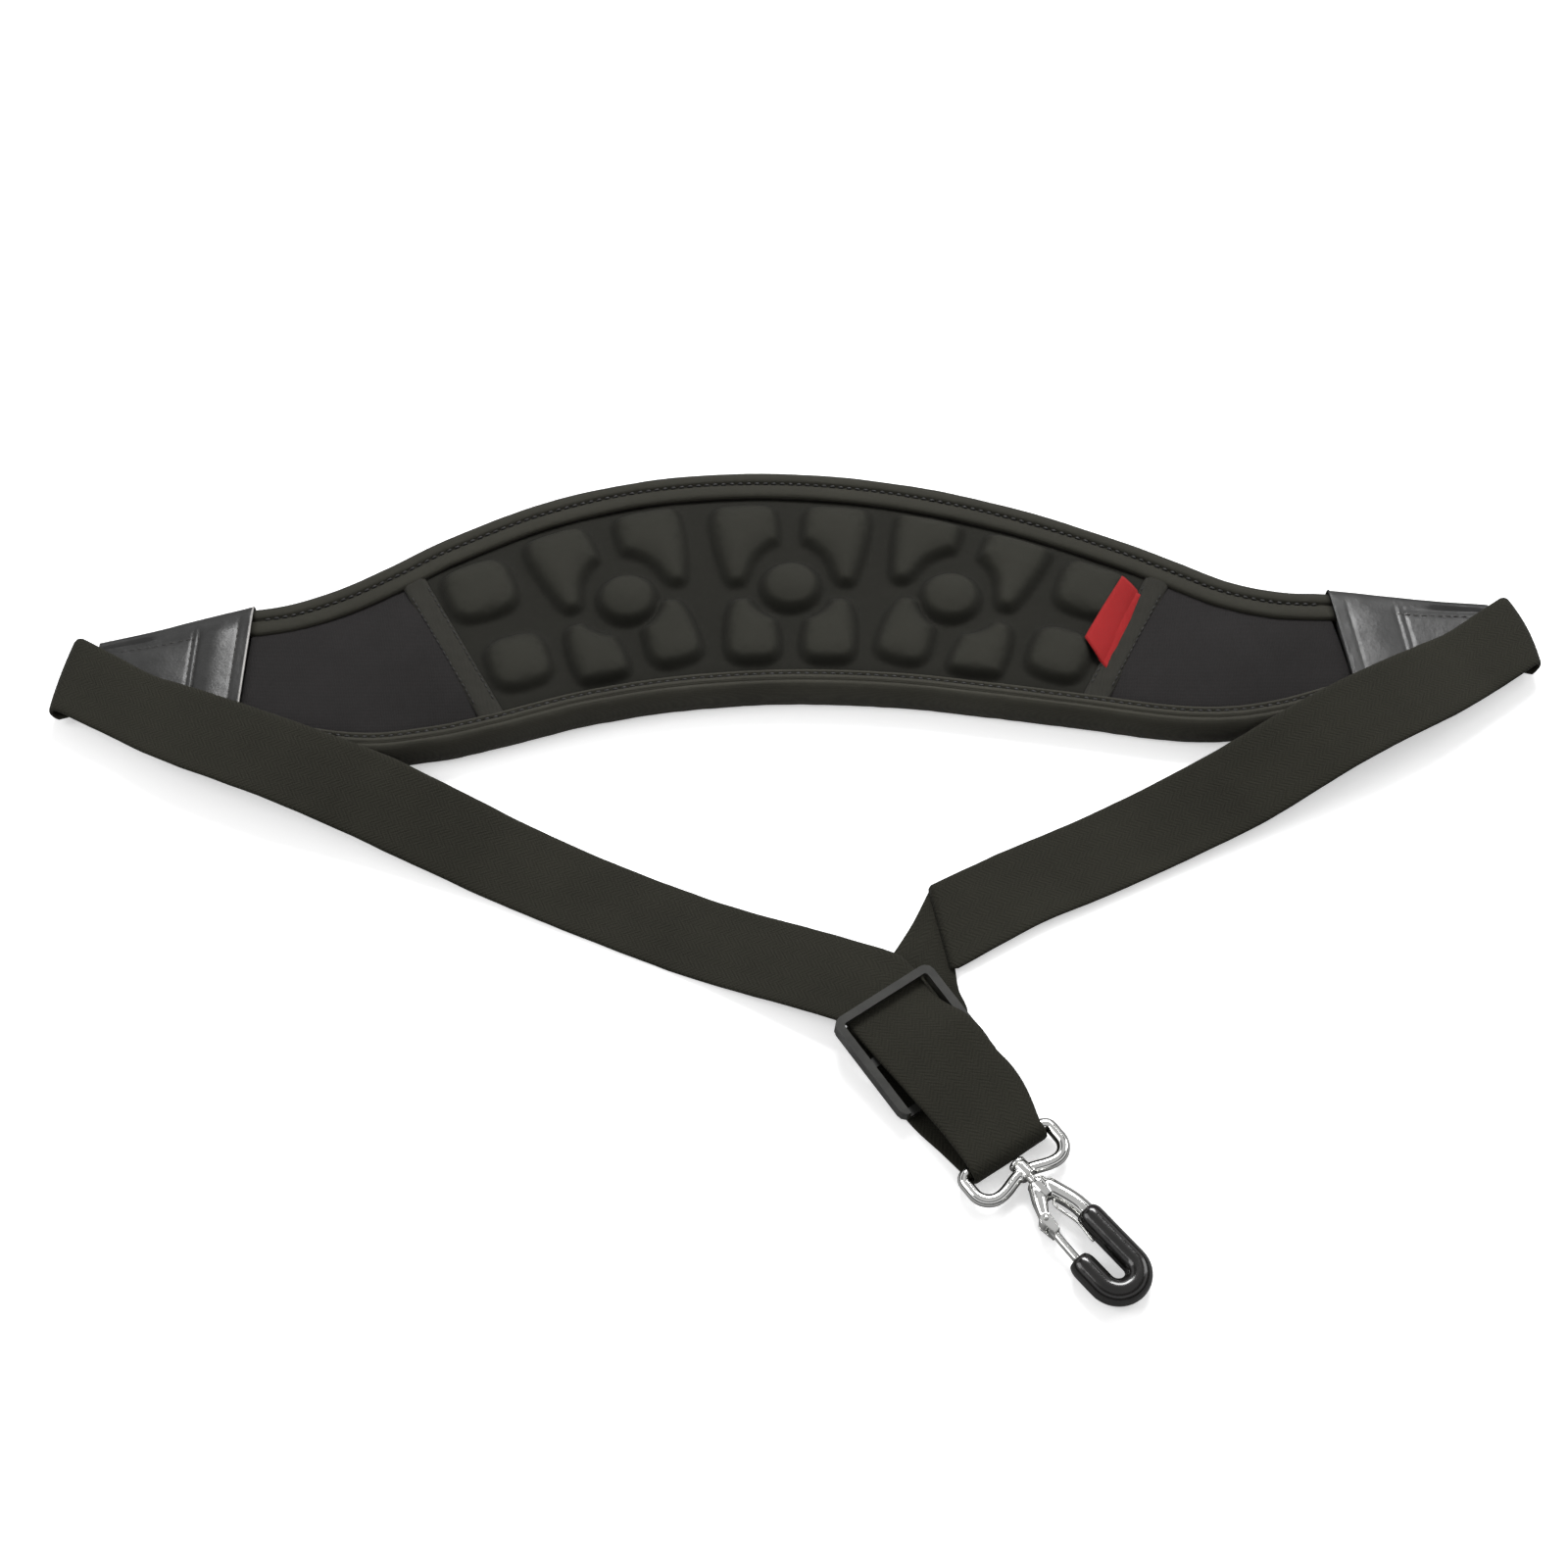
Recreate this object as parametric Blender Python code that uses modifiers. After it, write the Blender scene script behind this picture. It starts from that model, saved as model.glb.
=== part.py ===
"""Saxophone neck strap: padded crescent, 30 mm webbing loop, tri-glide slider and a
swivel snap hook with a plastic-dipped bend.

Built in metres, +Z up; every size below is in mm.  The pad lies along X, its convex
back edge towards +Y and its front edge, the loop and the hook towards -Y.  Left is -X.
The underside of the back panel is z = 0; the strap rests on a surface 1.3 mm below it.
"""
import math
import bpy
import bmesh
from mathutils import Matrix, Vector

MM = 0.001
LEFT, RIGHT = -1, 1             # side signs along X
SIDE_NAMES = {LEFT: "left", RIGHT: "right"}

# ---------------------------------------------------------------- heights of the pad layers
RESTING_Z = -1.3                # surface the strap lies on
BACK_Z = (0.0, 1.6)             # back panel
FOAM_Z = (1.9, 7.2)
AIR_Z = (7.5, 8.1)              # air-cell sheet
FRONT_Z = (8.4, 9.5)            # cell panel
WING_Z = (AIR_Z[0] + 0.3, FRONT_Z[1])
TAPE_Z = (9.8, 10.5)            # seam tapes
RIM_TOP = 10.9                  # top of the edge bindings
GAP = 0.3                       # clearance between the leather edge and the layers

# ---------------------------------------------------------------- pad outline
# Stations (x, y) joined by a smooth curve
BACK_EDGE = [
    (-187, -8.6), (-174, -5.9), (-158, 0.7), (-141, 10.7), (-124, 21.7), (-90, 38.7),
    (-55, 49.0), (-20, 52.9), (15, 51.7), (50, 45.7), (85, 35.2), (120, 20.7),
    (137, 12.2), (153, 4.2), (170, -0.4), (187, -1.4)]
FRONT_EDGE = [
    (-187, -61), (-165, -68), (-143, -70.5), (-122, -68), (-102, -63), (-70, -53),
    (-36, -46.5), (0, -44), (32, -45), (65, -49), (98, -54), (130, -59),
    (150, -59.5), (168, -56.5), (187, -50.5)]

# End caps, from the leather edge outwards: x, y of the back side, y of the front side
CAPS = {
    LEFT: [(-187.3, -8.6, -61), (-205, -12.4, -57.5), (-222, -16.2, -54.6),
           (-240.5, -19.6, -52.6)],
    RIGHT: [(188.0, -1.4, -49.5), (206, -1.9, -46), (224, -2.6, -41.0),
            (244.5, -2.8, -35.5)]}
CAP_TOPS = (11.3, 9.2, 7.1, 5.0)            # top height at each cap station
CAP_WALL = 1.2                              # leather thickness and edge chamfer
EDGE_SKEW = {LEFT: 1.5, RIGHT: 6.5}         # front corner of the leather edge lies further out
CAP_SKEW = {LEFT: 0.975, RIGHT: 3.25}       # the same at the outer stations

# Seam tape centre lines: back end, front end
SEAMS = {LEFT: ((-132.6, 3.0), (-102.6, -53.5)),
         RIGHT: ((130.5, 7.0), (105.6, -44.0))}
TAPE_W = 9.6
TAPE_INSET = 9.2                # tape ends from the pad edges
SEAM_GAP = 0.25                 # panel edge from the seam line
PANEL_INSET = 2.4               # cell and wing panels from the pad edges

# Binding section, closed round the layers: inset from the pad edge, z
BINDING_SECTION = [
    (8.4, 9.8), (8.4, RIM_TOP - 0.25), (7.8, RIM_TOP), (2.0, RIM_TOP), (0.4, RIM_TOP - 1.3),
    (0.0, 6.5), (0.0, 2.5), (0.6, -0.6), (1.8, RESTING_Z), (6.0, RESTING_Z), (6.0, -0.3),
    (1.3, -0.3), (1.3, 9.8)]
BINDING_STEPS = 26
# y at which each binding's end stations meet the leather edges: left, right
BINDING_END_Y = {"back": (-8.6, -1.4), "front": (-61, -49)}

# ---------------------------------------------------------------- air cells
CELL_H = 3.6                    # height of a cell above the front panel
DOME_R = 9.8
DOMES = [(-57.0, -5.6, 18.5), (0.0, 0.0, 0.0), (55.7, -4.7, -18.5)]     # x, y, turn of its group
# Cells round a dome, on its +X side: a hollow arc round the dome, then these points (x, y)
PETAL_ARC_R = 15.8
PETAL_ARC_START_R = 19.0        # the back cells' arc closes in from here
BACK_PETAL = [(-20.0, 2.0), (-22.4, 6.0), (-27.0, 19.0), (-28.2, 28.0), (-26.4, 33.2),
              (-9.2, 34.4), (-5.2, 31.6)]
FRONT_PETAL = [(-3.4, -27.0), (-7.0, -31.2), (-18.0, -31.6), (-22.0, -28.0), (-22.0, -14.0),
               (-20.0, -6.5)]
# Cells beyond the outer domes: x, y, half width, half height, turn
END_CELLS = [(-106.0, -2.5, 11.0, 10.5, 21.0), (-92.5, -32.5, 9.5, 9.0, 19.0),
             (101.0, -1.5, 10.5, 10.0, -20.0), (90.5, -29.0, 8.8, 9.0, -19.0)]
END_CELL_SHAPE = [(-1, -0.5), (-0.5, -1), (0.5, -1), (1, -0.5),
                  (1, 0.5), (0.5, 1), (-0.5, 1), (-1, 0.5)]

# Label tab, two end sections: foot x, y, tip x, y
LABEL_ENDS = [(121.5, 2.0, 111.0, 3.8), (109.0, -31.0, 98.0, -29.0)]

# ---------------------------------------------------------------- webbing
WEB_T = 1.4
WEB_HALF = 15.0                 # half the webbing width
WEB_HALF_TIGHT = 14.2           # half width inside the leather and the ring
JOIN_GAP = 0.35                 # clearance between butting webbing pieces
STATION_STEP = 13.0             # spacing of the smoothed stations
UPPER_Z = 6.8                   # centre of the loop's upper layer
LOWER_Z = -0.3                  # centre of the loop's lower layer
# Strand centre lines: x, y, z of the pad-side edge, z of the outer edge
LEFT_STRAND = [
    (-225.5, -51.0, 9.4, 8.4), (-195, -64.5, 12.9, 10.6), (-165, -77, 13.2, 9.8),
    (-140, -87.5, 12.2, 6.0), (-116, -98.5, 7.6, 2.8), (-90, -110.5, 2.4, 0.2),
    (-57.5, -125.2, -0.4, -0.5), (-30, -137, -0.2, -0.4), (-8, -146.2, 2.4, 2.2),
    (10, -153.6, 5.6, 5.4), (26.2, -160.6, UPPER_Z, UPPER_Z)]
RIGHT_STRAND = [
    (234.5, -32.5, 9.0, 8.2), (205, -49.5, 12.8, 10.8), (180, -64.0, 12.6, 9.0),
    (154, -79.5, 8.8, 4.2), (128, -93.2, 4.4, 2.2), (102, -106.4, 2.4, 1.8),
    (76, -118.8, 1.9, 1.8)]
RIGHT_STRAND_END = ((46.7, -116.4, 1.35), (53.5, -149.4, 1.35))

# Tip turns: exit centre, exit direction (deg), fold centre, fold line direction (deg)
TIPS = {LEFT: ((-229.0, -34.6), 186.0, (-251.0, -35.5), 79.9),
        RIGHT: ((231.0, -19.6), 4.0, (255.2, -17.0), 106.4)}
TIP_R = 2.7                     # radius of the turn
TIP_Z = 2.4                     # height at which the webbing leaves the leather
TIP_STRAIGHT = 15.2
ANCHOR_LEN = 28.0               # reach of the webbing inside the leather

# Loop frame: s along the doubled webbing towards the hook, t across it
LOOP_ORIGIN = (28.0, -163.0)
LOOP_DEG = -54.3
MITRE_S = -3.0                  # where the left strand turns into the loop direction
MITRE_HALF_TURN = 15.7          # degrees
UPPER_STATIONS = [(3.0, WEB_HALF), (20.0, WEB_HALF), (40.0, WEB_HALF), (54.0, 14.6)]   # s, half
# Lower layer before the loop: x, y of one edge, x, y of the other, z
LOWER_FREE = [(53.4, -147.4, 46.0, -118.0, -0.55), (54.4, -156.4, 38.6, -134.0, -0.55),
              (58.2, -164.2, 33.0, -149.0, -0.5)]
# and inside it: s, t of one edge, s, t of the other, z
LOWER_LOOP = [(19, 22.0, 14, -2.5, -0.45), (31, 20.0, 27, -10.5, -0.4),
              (44, 17.5, 42, -15.5, -0.35), (57, 15.0, 56, -15.2, LOWER_Z)]

# ---------------------------------------------------------------- slider
SLIDER_L = 39.5
SLIDER_HALF = 38.6 / 2
RAIL_W = 2.8
RAIL_H = 5.0
BAR_H = 2.2
MIDDLE_BAR_S = (16.6, 19.8)
SLIDER_PITCH = 7.0              # degrees; the end away from the hook stands higher
SLIDER_LOW_Z = 0.85             # underside at the hook end

# ---------------------------------------------------------------- ring
RING_S = 66.0                   # s of the ring bar
RING_R = 2.1                    # wire radius
RING_IN = 14.9                  # half the clear width
RING_FRONT = 80.4               # outermost s
RING_CORNER_R = RING_R + 0.3    # corners beside the webbing
RING_LOBE_R = 5.6               # round lobes on the hook side
RING_DIP = 2.6                  # how far the middle of the hook side dips in
RING_Z = (UPPER_Z + LOWER_Z) / 2

# ---------------------------------------------------------------- hook
# Hook frame: h from the swivel neck to the bend, w across, z from the ring's mid-plane
HOOK_ORIGIN = (75.4, -226.6)
HOOK_DEG = -50.5
POST_W = -0.6                   # w of the swivel axis
SWIVEL_BORE_R = 1.75
# Swivel post: radius, height from its base; the head is at the low end
POST_BASE_H = -6.45
POST_PROFILE = [(0.0, 12.8), (1.4, 12.8), (1.4, 0.0), (2.9, 0.0), (2.9, -0.9), (2.0, -1.6),
                (0.0, -1.8)]
COAT_R = 4.3
CORE_R = 3.05
COAT_CLEARANCE = 0.15
SPINE_W = 4.8                   # w of the spine
NOSE_W = -8.2                   # w of the nose
BEND_H = 40.2                   # h where the bend starts
COAT_H = 18.8                   # where the coating starts on the spine
NOSE_H = 29.5                   # where it ends on the nose
SPINE_ROOT = [(5.0, 1.9231), (12.0, 3.8), (17.0, SPINE_W)]      # h, w of the spine's root
GATE_H = 13.4                   # gate pin
GATE_W = -7.2
GATE_BORE_R = 1.0
CHEEK_Z = (2.2, 3.1)            # gate cheeks, either side of the mid-plane
# Gate outlines: h, w from the pin
CHEEK = [(-2.0, 0.0), (-1.4, 1.4), (0.0, 2.0), (5.4, 1.1), (5.4, -1.4), (0.0, -2.0),
         (-1.4, -1.4)]
BRIDGE = [(2.9, 1.2), (5.4, 1.1), (5.4, -1.4), (2.9, -1.6)]

# ---------------------------------------------------------------- materials
LEATHER = dict(color=(0.030, 0.030, 0.032), roughness=0.38)
NEOPRENE = dict(color=(0.040, 0.037, 0.045), roughness=0.85)
CELL_FABRIC = dict(color=(0.022, 0.022, 0.022), roughness=0.75)
BINDING_FABRIC = dict(color=(0.030, 0.029, 0.026), roughness=0.70)
TAPE = dict(color=(0.034, 0.034, 0.032), roughness=0.80)
FOAM = dict(color=(0.10, 0.10, 0.10), roughness=0.95)
AIR_FILM = dict(color=(0.25, 0.26, 0.27), roughness=0.40)
BACK_FABRIC = dict(color=(0.020, 0.020, 0.022), roughness=0.85)
WEBBING = dict(color=(0.026, 0.025, 0.022), roughness=0.80)
LABEL_RED = dict(color=(0.60, 0.02, 0.03), roughness=0.70)
CHROME = dict(color=(0.80, 0.80, 0.79), roughness=0.10, metallic=1.0)
BLACK_PLASTIC = dict(color=(0.012, 0.012, 0.012), roughness=0.22)
DIPPED_PLASTIC = dict(color=(0.012, 0.010, 0.009), roughness=0.18)
SPRING_STEEL = dict(color=(0.55, 0.55, 0.54), roughness=0.25, metallic=1.0)


def new_material(name, color, roughness, metallic=0.0):
    mat = bpy.data.materials.new(name)
    mat.use_nodes = True
    shader = mat.node_tree.nodes["Principled BSDF"]
    shader.inputs["Base Color"].default_value = (*color, 1.0)
    shader.inputs["Roughness"].default_value = roughness
    shader.inputs["Metallic"].default_value = metallic
    mat.diffuse_color = (*color, 1.0)
    return mat


# ---------------------------------------------------------------- scene and mesh helpers
def clear_scene():
    for ob in list(bpy.data.objects):
        bpy.data.objects.remove(ob, do_unlink=True)
    for collection in list(bpy.data.collections):
        bpy.data.collections.remove(collection)


def new_collection(name):
    collection = bpy.data.collections.new(name)
    bpy.context.scene.collection.children.link(collection)
    return collection


clear_scene()
PARTS = new_collection("saxophone_neck_strap")
WORK = new_collection("cutters")        # holds shapes until they are cut or finished


def work_object(data):
    ob = bpy.data.objects.new("work", data)
    WORK.objects.link(ob)
    return ob


def finish(ob, name, look, smooth=False):
    """Name a piece, move it to the parts and give it its own material."""
    ob.name = name
    ob.data.name = name
    WORK.objects.unlink(ob)
    PARTS.objects.link(ob)
    ob.data.materials.clear()
    ob.data.materials.append(new_material(name + "_mat", **look))
    for face in ob.data.polygons:
        face.use_smooth = smooth


def tidy(mesh):
    bm = bmesh.new()
    bm.from_mesh(mesh)
    bmesh.ops.remove_doubles(bm, verts=bm.verts, dist=1e-6)
    bmesh.ops.recalc_face_normals(bm, faces=bm.faces)
    bm.to_mesh(mesh)
    bm.free()


def mesh_from_bmesh(bm):
    mesh = bpy.data.meshes.new("work")
    bm.to_mesh(mesh)
    bm.free()
    return mesh


def evaluated_mesh(ob):
    bpy.context.view_layer.update()
    depsgraph = bpy.context.evaluated_depsgraph_get()
    return bpy.data.meshes.new_from_object(ob.evaluated_get(depsgraph))


def apply_modifiers(ob):
    """Bake the object's modifiers into a tidied mesh."""
    mesh = evaluated_mesh(ob)
    ob.modifiers.clear()
    ob.data = mesh
    tidy(mesh)


def boolean(ob, cutter, operation):
    """Work the cutter into ob and delete it."""
    mod = ob.modifiers.new("boolean", "BOOLEAN")
    mod.operation = operation
    mod.solver = "EXACT"
    mod.object = cutter
    apply_modifiers(ob)
    bpy.data.objects.remove(cutter, do_unlink=True)


def add_skin(bm, rings):
    """Add a capped solid through equal rings of points."""
    rows = [[bm.verts.new(Vector(p) * MM) for p in ring] for ring in rings]
    count = len(rows[0])
    faces = []
    for a, b in zip(rows, rows[1:]):
        for k in range(count):
            after = (k + 1) % count
            faces.append(bm.faces.new((a[k], a[after], b[after], b[k])))
    faces.append(bm.faces.new(rows[0][::-1]))
    faces.append(bm.faces.new(rows[-1]))
    bmesh.ops.recalc_face_normals(bm, faces=faces)


def loft(rings, name, look):
    bm = bmesh.new()
    add_skin(bm, rings)
    finish(work_object(mesh_from_bmesh(bm)), name, look)


def curve_solid(curve, points, cyclic, lift=0.0):
    """Run a poly spline through the points and turn the curve into a mesh object."""
    line = curve.splines.new("POLY")
    line.points.add(len(points) - 1)
    for target, (x, y, z) in zip(line.points, points):
        target.co = (x * MM, y * MM, z * MM, 1)
    line.use_cyclic_u = cyclic
    ob = work_object(curve)
    mesh = evaluated_mesh(ob)
    mesh.transform(Matrix.Translation((0, 0, lift * MM)))
    tidy(mesh)
    bpy.data.objects.remove(ob, do_unlink=True)
    bpy.data.curves.remove(curve)
    return work_object(mesh)


def wire(points, radius, resolution=2, cyclic=False):
    """Round wire along (x, y, z) points."""
    curve = bpy.data.curves.new("wire", "CURVE")
    curve.dimensions = "3D"
    curve.bevel_depth = radius * MM
    curve.bevel_resolution = resolution
    curve.use_fill_caps = not cyclic
    return curve_solid(curve, points, cyclic)


def plate(outline, z0, z1):
    """Flat plate with an (x, y) outline between two heights."""
    curve = bpy.data.curves.new("plate", "CURVE")
    curve.dimensions = "2D"
    curve.fill_mode = "BOTH"
    curve.extrude = (z1 - z0) / 2 * MM
    return curve_solid(curve, [(x, y, 0) for x, y in outline], True, lift=(z0 + z1) / 2)


def cylinder(start, end, radius, segments=20):
    start, end = Vector(start) * MM, Vector(end) * MM
    bm = bmesh.new()
    bmesh.ops.create_cone(bm, cap_ends=True, segments=segments, radius1=radius * MM,
                          radius2=radius * MM, depth=(end - start).length)
    mesh = mesh_from_bmesh(bm)
    mesh.transform((end - start).to_track_quat("Z", "Y").to_matrix().to_4x4())
    mesh.transform(Matrix.Translation((start + end) / 2))
    return work_object(mesh)


# ---------------------------------------------------------------- plane geometry
def direction(degrees):
    return (math.cos(math.radians(degrees)), math.sin(math.radians(degrees)))


def in_frame(origin, degrees, x, y):
    """Point (x, y) of a frame turned by degrees about its origin."""
    c, s = direction(degrees)
    return (origin[0] + c * x - s * y, origin[1] + s * x + c * y)


def arc(centre, radius, end_radius, start, end, steps):
    """Points from angle start to end (deg), the radius changing evenly."""
    points = []
    for k in range(steps + 1):
        r = radius + (end_radius - radius) * k / steps
        c, s = direction(start + (end - start) * k / steps)
        points.append((centre[0] + r * c, centre[1] + r * s))
    return points


def spaced(start, end, steps):
    return [start + (end - start) * k / steps for k in range(steps + 1)]


def rectangle(x0, x1, y0, y1):
    return [(x0, y0), (x1, y0), (x1, y1), (x0, y1)]


def rounded_rectangle(x0, x1, y0, y1, radius, steps):
    corners = ((x1 - radius, y1 - radius, 0), (x0 + radius, y1 - radius, 90),
               (x0 + radius, y0 + radius, 180), (x1 - radius, y0 + radius, 270))
    points = []
    for x, y, start in corners:
        points += arc((x, y), radius, radius, start, start + 90, steps)
    return points


def smooth_value(stations, x):
    """Hermite curve through (x, value) stations, carried on straight beyond the ends."""
    last = len(stations) - 1

    def slope(k):
        xa, ya = stations[max(k - 1, 0)]
        xb, yb = stations[min(k + 1, last)]
        return (yb - ya) / (xb - xa)

    for k in (0, last):
        end_x, end_y = stations[k]
        if (x <= end_x) if k == 0 else (x >= end_x):
            return end_y + (x - end_x) * slope(k)
    i = max(k for k in range(last) if stations[k][0] <= x)
    (xa, ya), (xb, yb) = stations[i], stations[i + 1]
    span = xb - xa
    t = (x - xa) / span
    return ((2 * t**3 - 3 * t**2 + 1) * ya + (t**3 - 2 * t**2 + t) * span * slope(i)
            + (-2 * t**3 + 3 * t**2) * yb + (t**3 - t**2) * span * slope(i + 1))


# ---------------------------------------------------------------- pad outline
def edge_point(stations, x, inset):
    """Pad edge at x, moved into the pad along the edge's normal."""
    inward = -1 if stations is BACK_EDGE else 1
    slope = smooth_value(stations, x + 0.5) - smooth_value(stations, x - 0.5)
    length = math.hypot(1, slope)
    return (x - inward * slope * inset / length,
            smooth_value(stations, x) + inward * inset / length)


def leather_x(side, y, inset=0.0):
    """x of the leather edge at y, moved towards the pad centre by inset."""
    x, y_back, y_front = CAPS[side][0]
    return x + side * (EDGE_SKEW[side] * (y_back - y) / (y_back - y_front) - inset)


def leather_edge(side, inset):
    return lambda y: leather_x(side, y, inset)


def seam_edge(side, offset):
    """Line beside a seam as x(y), moved along +X by offset."""
    (x0, y0), (x1, y1) = SEAMS[side]
    return lambda y: x0 + (x1 - x0) * (y - y0) / (y1 - y0) + offset


def strip_outline(inset, left, right, steps):
    """Pad outline between two x(y) side lines, inset at the back and front edges."""
    back_left = left(smooth_value(BACK_EDGE, max(left(0), -150)) - inset)
    back_right = right(smooth_value(BACK_EDGE, min(right(0), 150)) - inset)
    front_left = left(smooth_value(FRONT_EDGE, left(-50)) + inset)
    front_right = right(smooth_value(FRONT_EDGE, right(-50)) + inset)
    back = [edge_point(BACK_EDGE, x, inset) for x in spaced(back_left, back_right, steps)]
    front = [edge_point(FRONT_EDGE, x, inset) for x in spaced(front_left, front_right, steps)]
    return back + front[::-1]


def full_outline(inset, end_gap):
    return strip_outline(inset, leather_edge(LEFT, end_gap), leather_edge(RIGHT, end_gap), 22)


# ---------------------------------------------------------------- pad layers
def build_back_panel():
    """Panel with its margin stepped up above the bindings' turned-under lips."""
    panel = plate(full_outline(2.3, GAP), 0.3, BACK_Z[1])
    boolean(panel, plate(full_outline(6.9, GAP + 0.6), BACK_Z[0], 0.8), "UNION")
    finish(panel, "back_panel", BACK_FABRIC)


def build_foam():
    finish(plate(full_outline(2.5, GAP + 0.3), *FOAM_Z), "foam_core", FOAM)


def petals(x, y, turn):
    """Two back and two front cells round a dome, hollowed on the side facing it."""
    back = arc((0, 0), PETAL_ARC_START_R, PETAL_ARC_R, 105, 156, 3) + BACK_PETAL
    front = arc((0, 0), PETAL_ARC_R, PETAL_ARC_R, 200, 252, 3) + FRONT_PETAL
    return [[in_frame((x, y), turn, mirror * px, py) for px, py in shape]
            for mirror in (1, -1) for shape in (back, front)]


def cell_outlines():
    cells = []
    for x, y, turn in DOMES:
        cells.append(arc((x, y), DOME_R, DOME_R, 0, 360, 12)[:-1])
        cells += petals(x, y, turn)
    for x, y, half_w, half_h, turn in END_CELLS:
        cells.append([in_frame((x, y), turn, a * half_w, b * half_h)
                      for a, b in END_CELL_SHAPE])
    return [counter_clockwise(cell) for cell in cells]


def counter_clockwise(points):
    area = sum(a[0] * b[1] - b[0] * a[1] for a, b in zip(points, points[1:] + points[:1]))
    return points if area > 0 else points[::-1]


def grown(points, distance):
    """Outline moved away from its middle by distance (inwards if negative)."""
    mid_x = sum(x for x, y in points) / len(points)
    mid_y = sum(y for x, y in points) / len(points)
    out = []
    for x, y in points:
        reach = math.hypot(x - mid_x, y - mid_y)
        factor = max(0.25, (reach + distance) / reach)
        out.append((mid_x + (x - mid_x) * factor, mid_y + (y - mid_y) * factor))
    return out


def work_cells(sheet, z_base, z_sheet, height, grow, operation):
    """Add or cut all cell pillows at once; each rises by height above z_sheet."""
    section = ((grow, z_base), (grow - 0.2, z_sheet + 0.35),
               (grow - 1.2, z_sheet + height * 0.6), (grow - 3.0, z_sheet + height))
    bm = bmesh.new()
    for cell in cell_outlines():
        add_skin(bm, [[(x, y, z) for x, y in grown(cell, distance)] for distance, z in section])
    boolean(sheet, work_object(mesh_from_bmesh(bm)), operation)


def build_cell_panel():
    outline = strip_outline(PANEL_INSET, seam_edge(LEFT, SEAM_GAP),
                            seam_edge(RIGHT, -SEAM_GAP), 16)
    panel = plate(outline, *FRONT_Z)
    bottom, top = FRONT_Z
    work_cells(panel, bottom + 0.4, top, CELL_H, 0.0, "UNION")
    work_cells(panel, bottom - 1.0, bottom, CELL_H - 0.1, -1.6, "DIFFERENCE")
    finish(panel, "cell_panel", CELL_FABRIC)


def build_air_cell_sheet():
    sheet = plate(strip_outline(3.0, seam_edge(LEFT, 0.8), seam_edge(RIGHT, -0.8), 14), *AIR_Z)
    work_cells(sheet, AIR_Z[0] + 0.2, AIR_Z[1], CELL_H - 0.5, -2.6, "UNION")
    finish(sheet, "air_cell_sheet", AIR_FILM)


def build_wing_panel(side):
    """Plain top panel between a seam and the leather."""
    edges = [leather_edge(side, GAP), seam_edge(side, side * SEAM_GAP)]
    outline = strip_outline(PANEL_INSET, *edges[::-side], 8)
    finish(plate(outline, *WING_Z), "wing_panel_" + SIDE_NAMES[side], NEOPRENE)


def build_seam_tape(side):
    outline = strip_outline(TAPE_INSET, seam_edge(side, -TAPE_W / 2),
                            seam_edge(side, TAPE_W / 2), 2)
    finish(plate(outline, *TAPE_Z), "seam_tape_" + SIDE_NAMES[side], TAPE)


def build_binding(name, stations):
    """C section round the edges of all layers, ending along the leather edges."""
    left_y, right_y = BINDING_END_Y[name]
    ends = {0: LEFT, BINDING_STEPS: RIGHT}
    rings = []
    for k, along in enumerate(spaced(leather_x(LEFT, left_y), leather_x(RIGHT, right_y),
                                     BINDING_STEPS)):
        ring = []
        for inset, z in BINDING_SECTION:
            x, y = edge_point(stations, along, inset)
            if k in ends:
                x = leather_x(ends[k], y, GAP)
            ring.append((x, y, z))
        rings.append(ring)
    loft(rings, "edge_binding_" + name, BINDING_FABRIC)


def build_end_cap(side):
    """Upper leather with turned-down sides over a flat lower leather."""
    wall = CAP_WALL
    upper, lower = [], []
    for i, ((cap_x, back, front), top) in enumerate(zip(CAPS[side], CAP_TOPS)):
        def point(y, z):
            if i == 0:
                return (leather_x(side, y), y, z)
            return (cap_x + side * CAP_SKEW[side] * (back - y) / (back - front), y, z)

        inner_shoulder = top - wall - 0.5
        section = [(back, -0.2), (back, top - wall), (back - wall, top),
                   (front + wall, top), (front, top - wall), (front, -0.2),
                   (front + wall, -0.2), (front + wall, inner_shoulder),
                   (front + wall + 0.5, top - wall), (back - wall - 0.5, top - wall),
                   (back - wall, inner_shoulder), (back - wall, -0.2)]
        upper.append([point(y, z) for y, z in section])
        lower.append([point(y, z) for y, z in
                      ((back - 0.2, RESTING_Z), (front + 0.2, RESTING_Z),
                       (front + 0.2, -0.5), (back - 0.2, -0.5))])
    loft(upper, "end_leather_front_" + SIDE_NAMES[side], LEATHER)
    loft(lower, "end_leather_back_" + SIDE_NAMES[side], LEATHER)


def build_label_tab():
    """Thin tab rising towards -X from beside the right seam."""
    rings = [[(foot_x, foot_y, 10.8), (foot_x, foot_y, 11.6), (tip_x, tip_y, 15.9),
              (tip_x - 0.4, tip_y, 15.1)] for foot_x, foot_y, tip_x, tip_y in LABEL_ENDS]
    loft(rings, "label_tab", LABEL_RED)


# ---------------------------------------------------------------- webbing
def loop_point(s, t, z):
    return (*in_frame(LOOP_ORIGIN, LOOP_DEG, s, t), z)


def edge_pair(centre, across, half, z_first, z_second):
    """The two webbing edges, half a width either way from the centre."""
    x, y = centre
    dx, dy = across[0] * half, across[1] * half
    return ((x + dx, y + dy, z_first), (x - dx, y - dy, z_second))


def loop_pair(s, half, z):
    return (loop_point(s, half, z), loop_point(s, -half, z))


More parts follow.
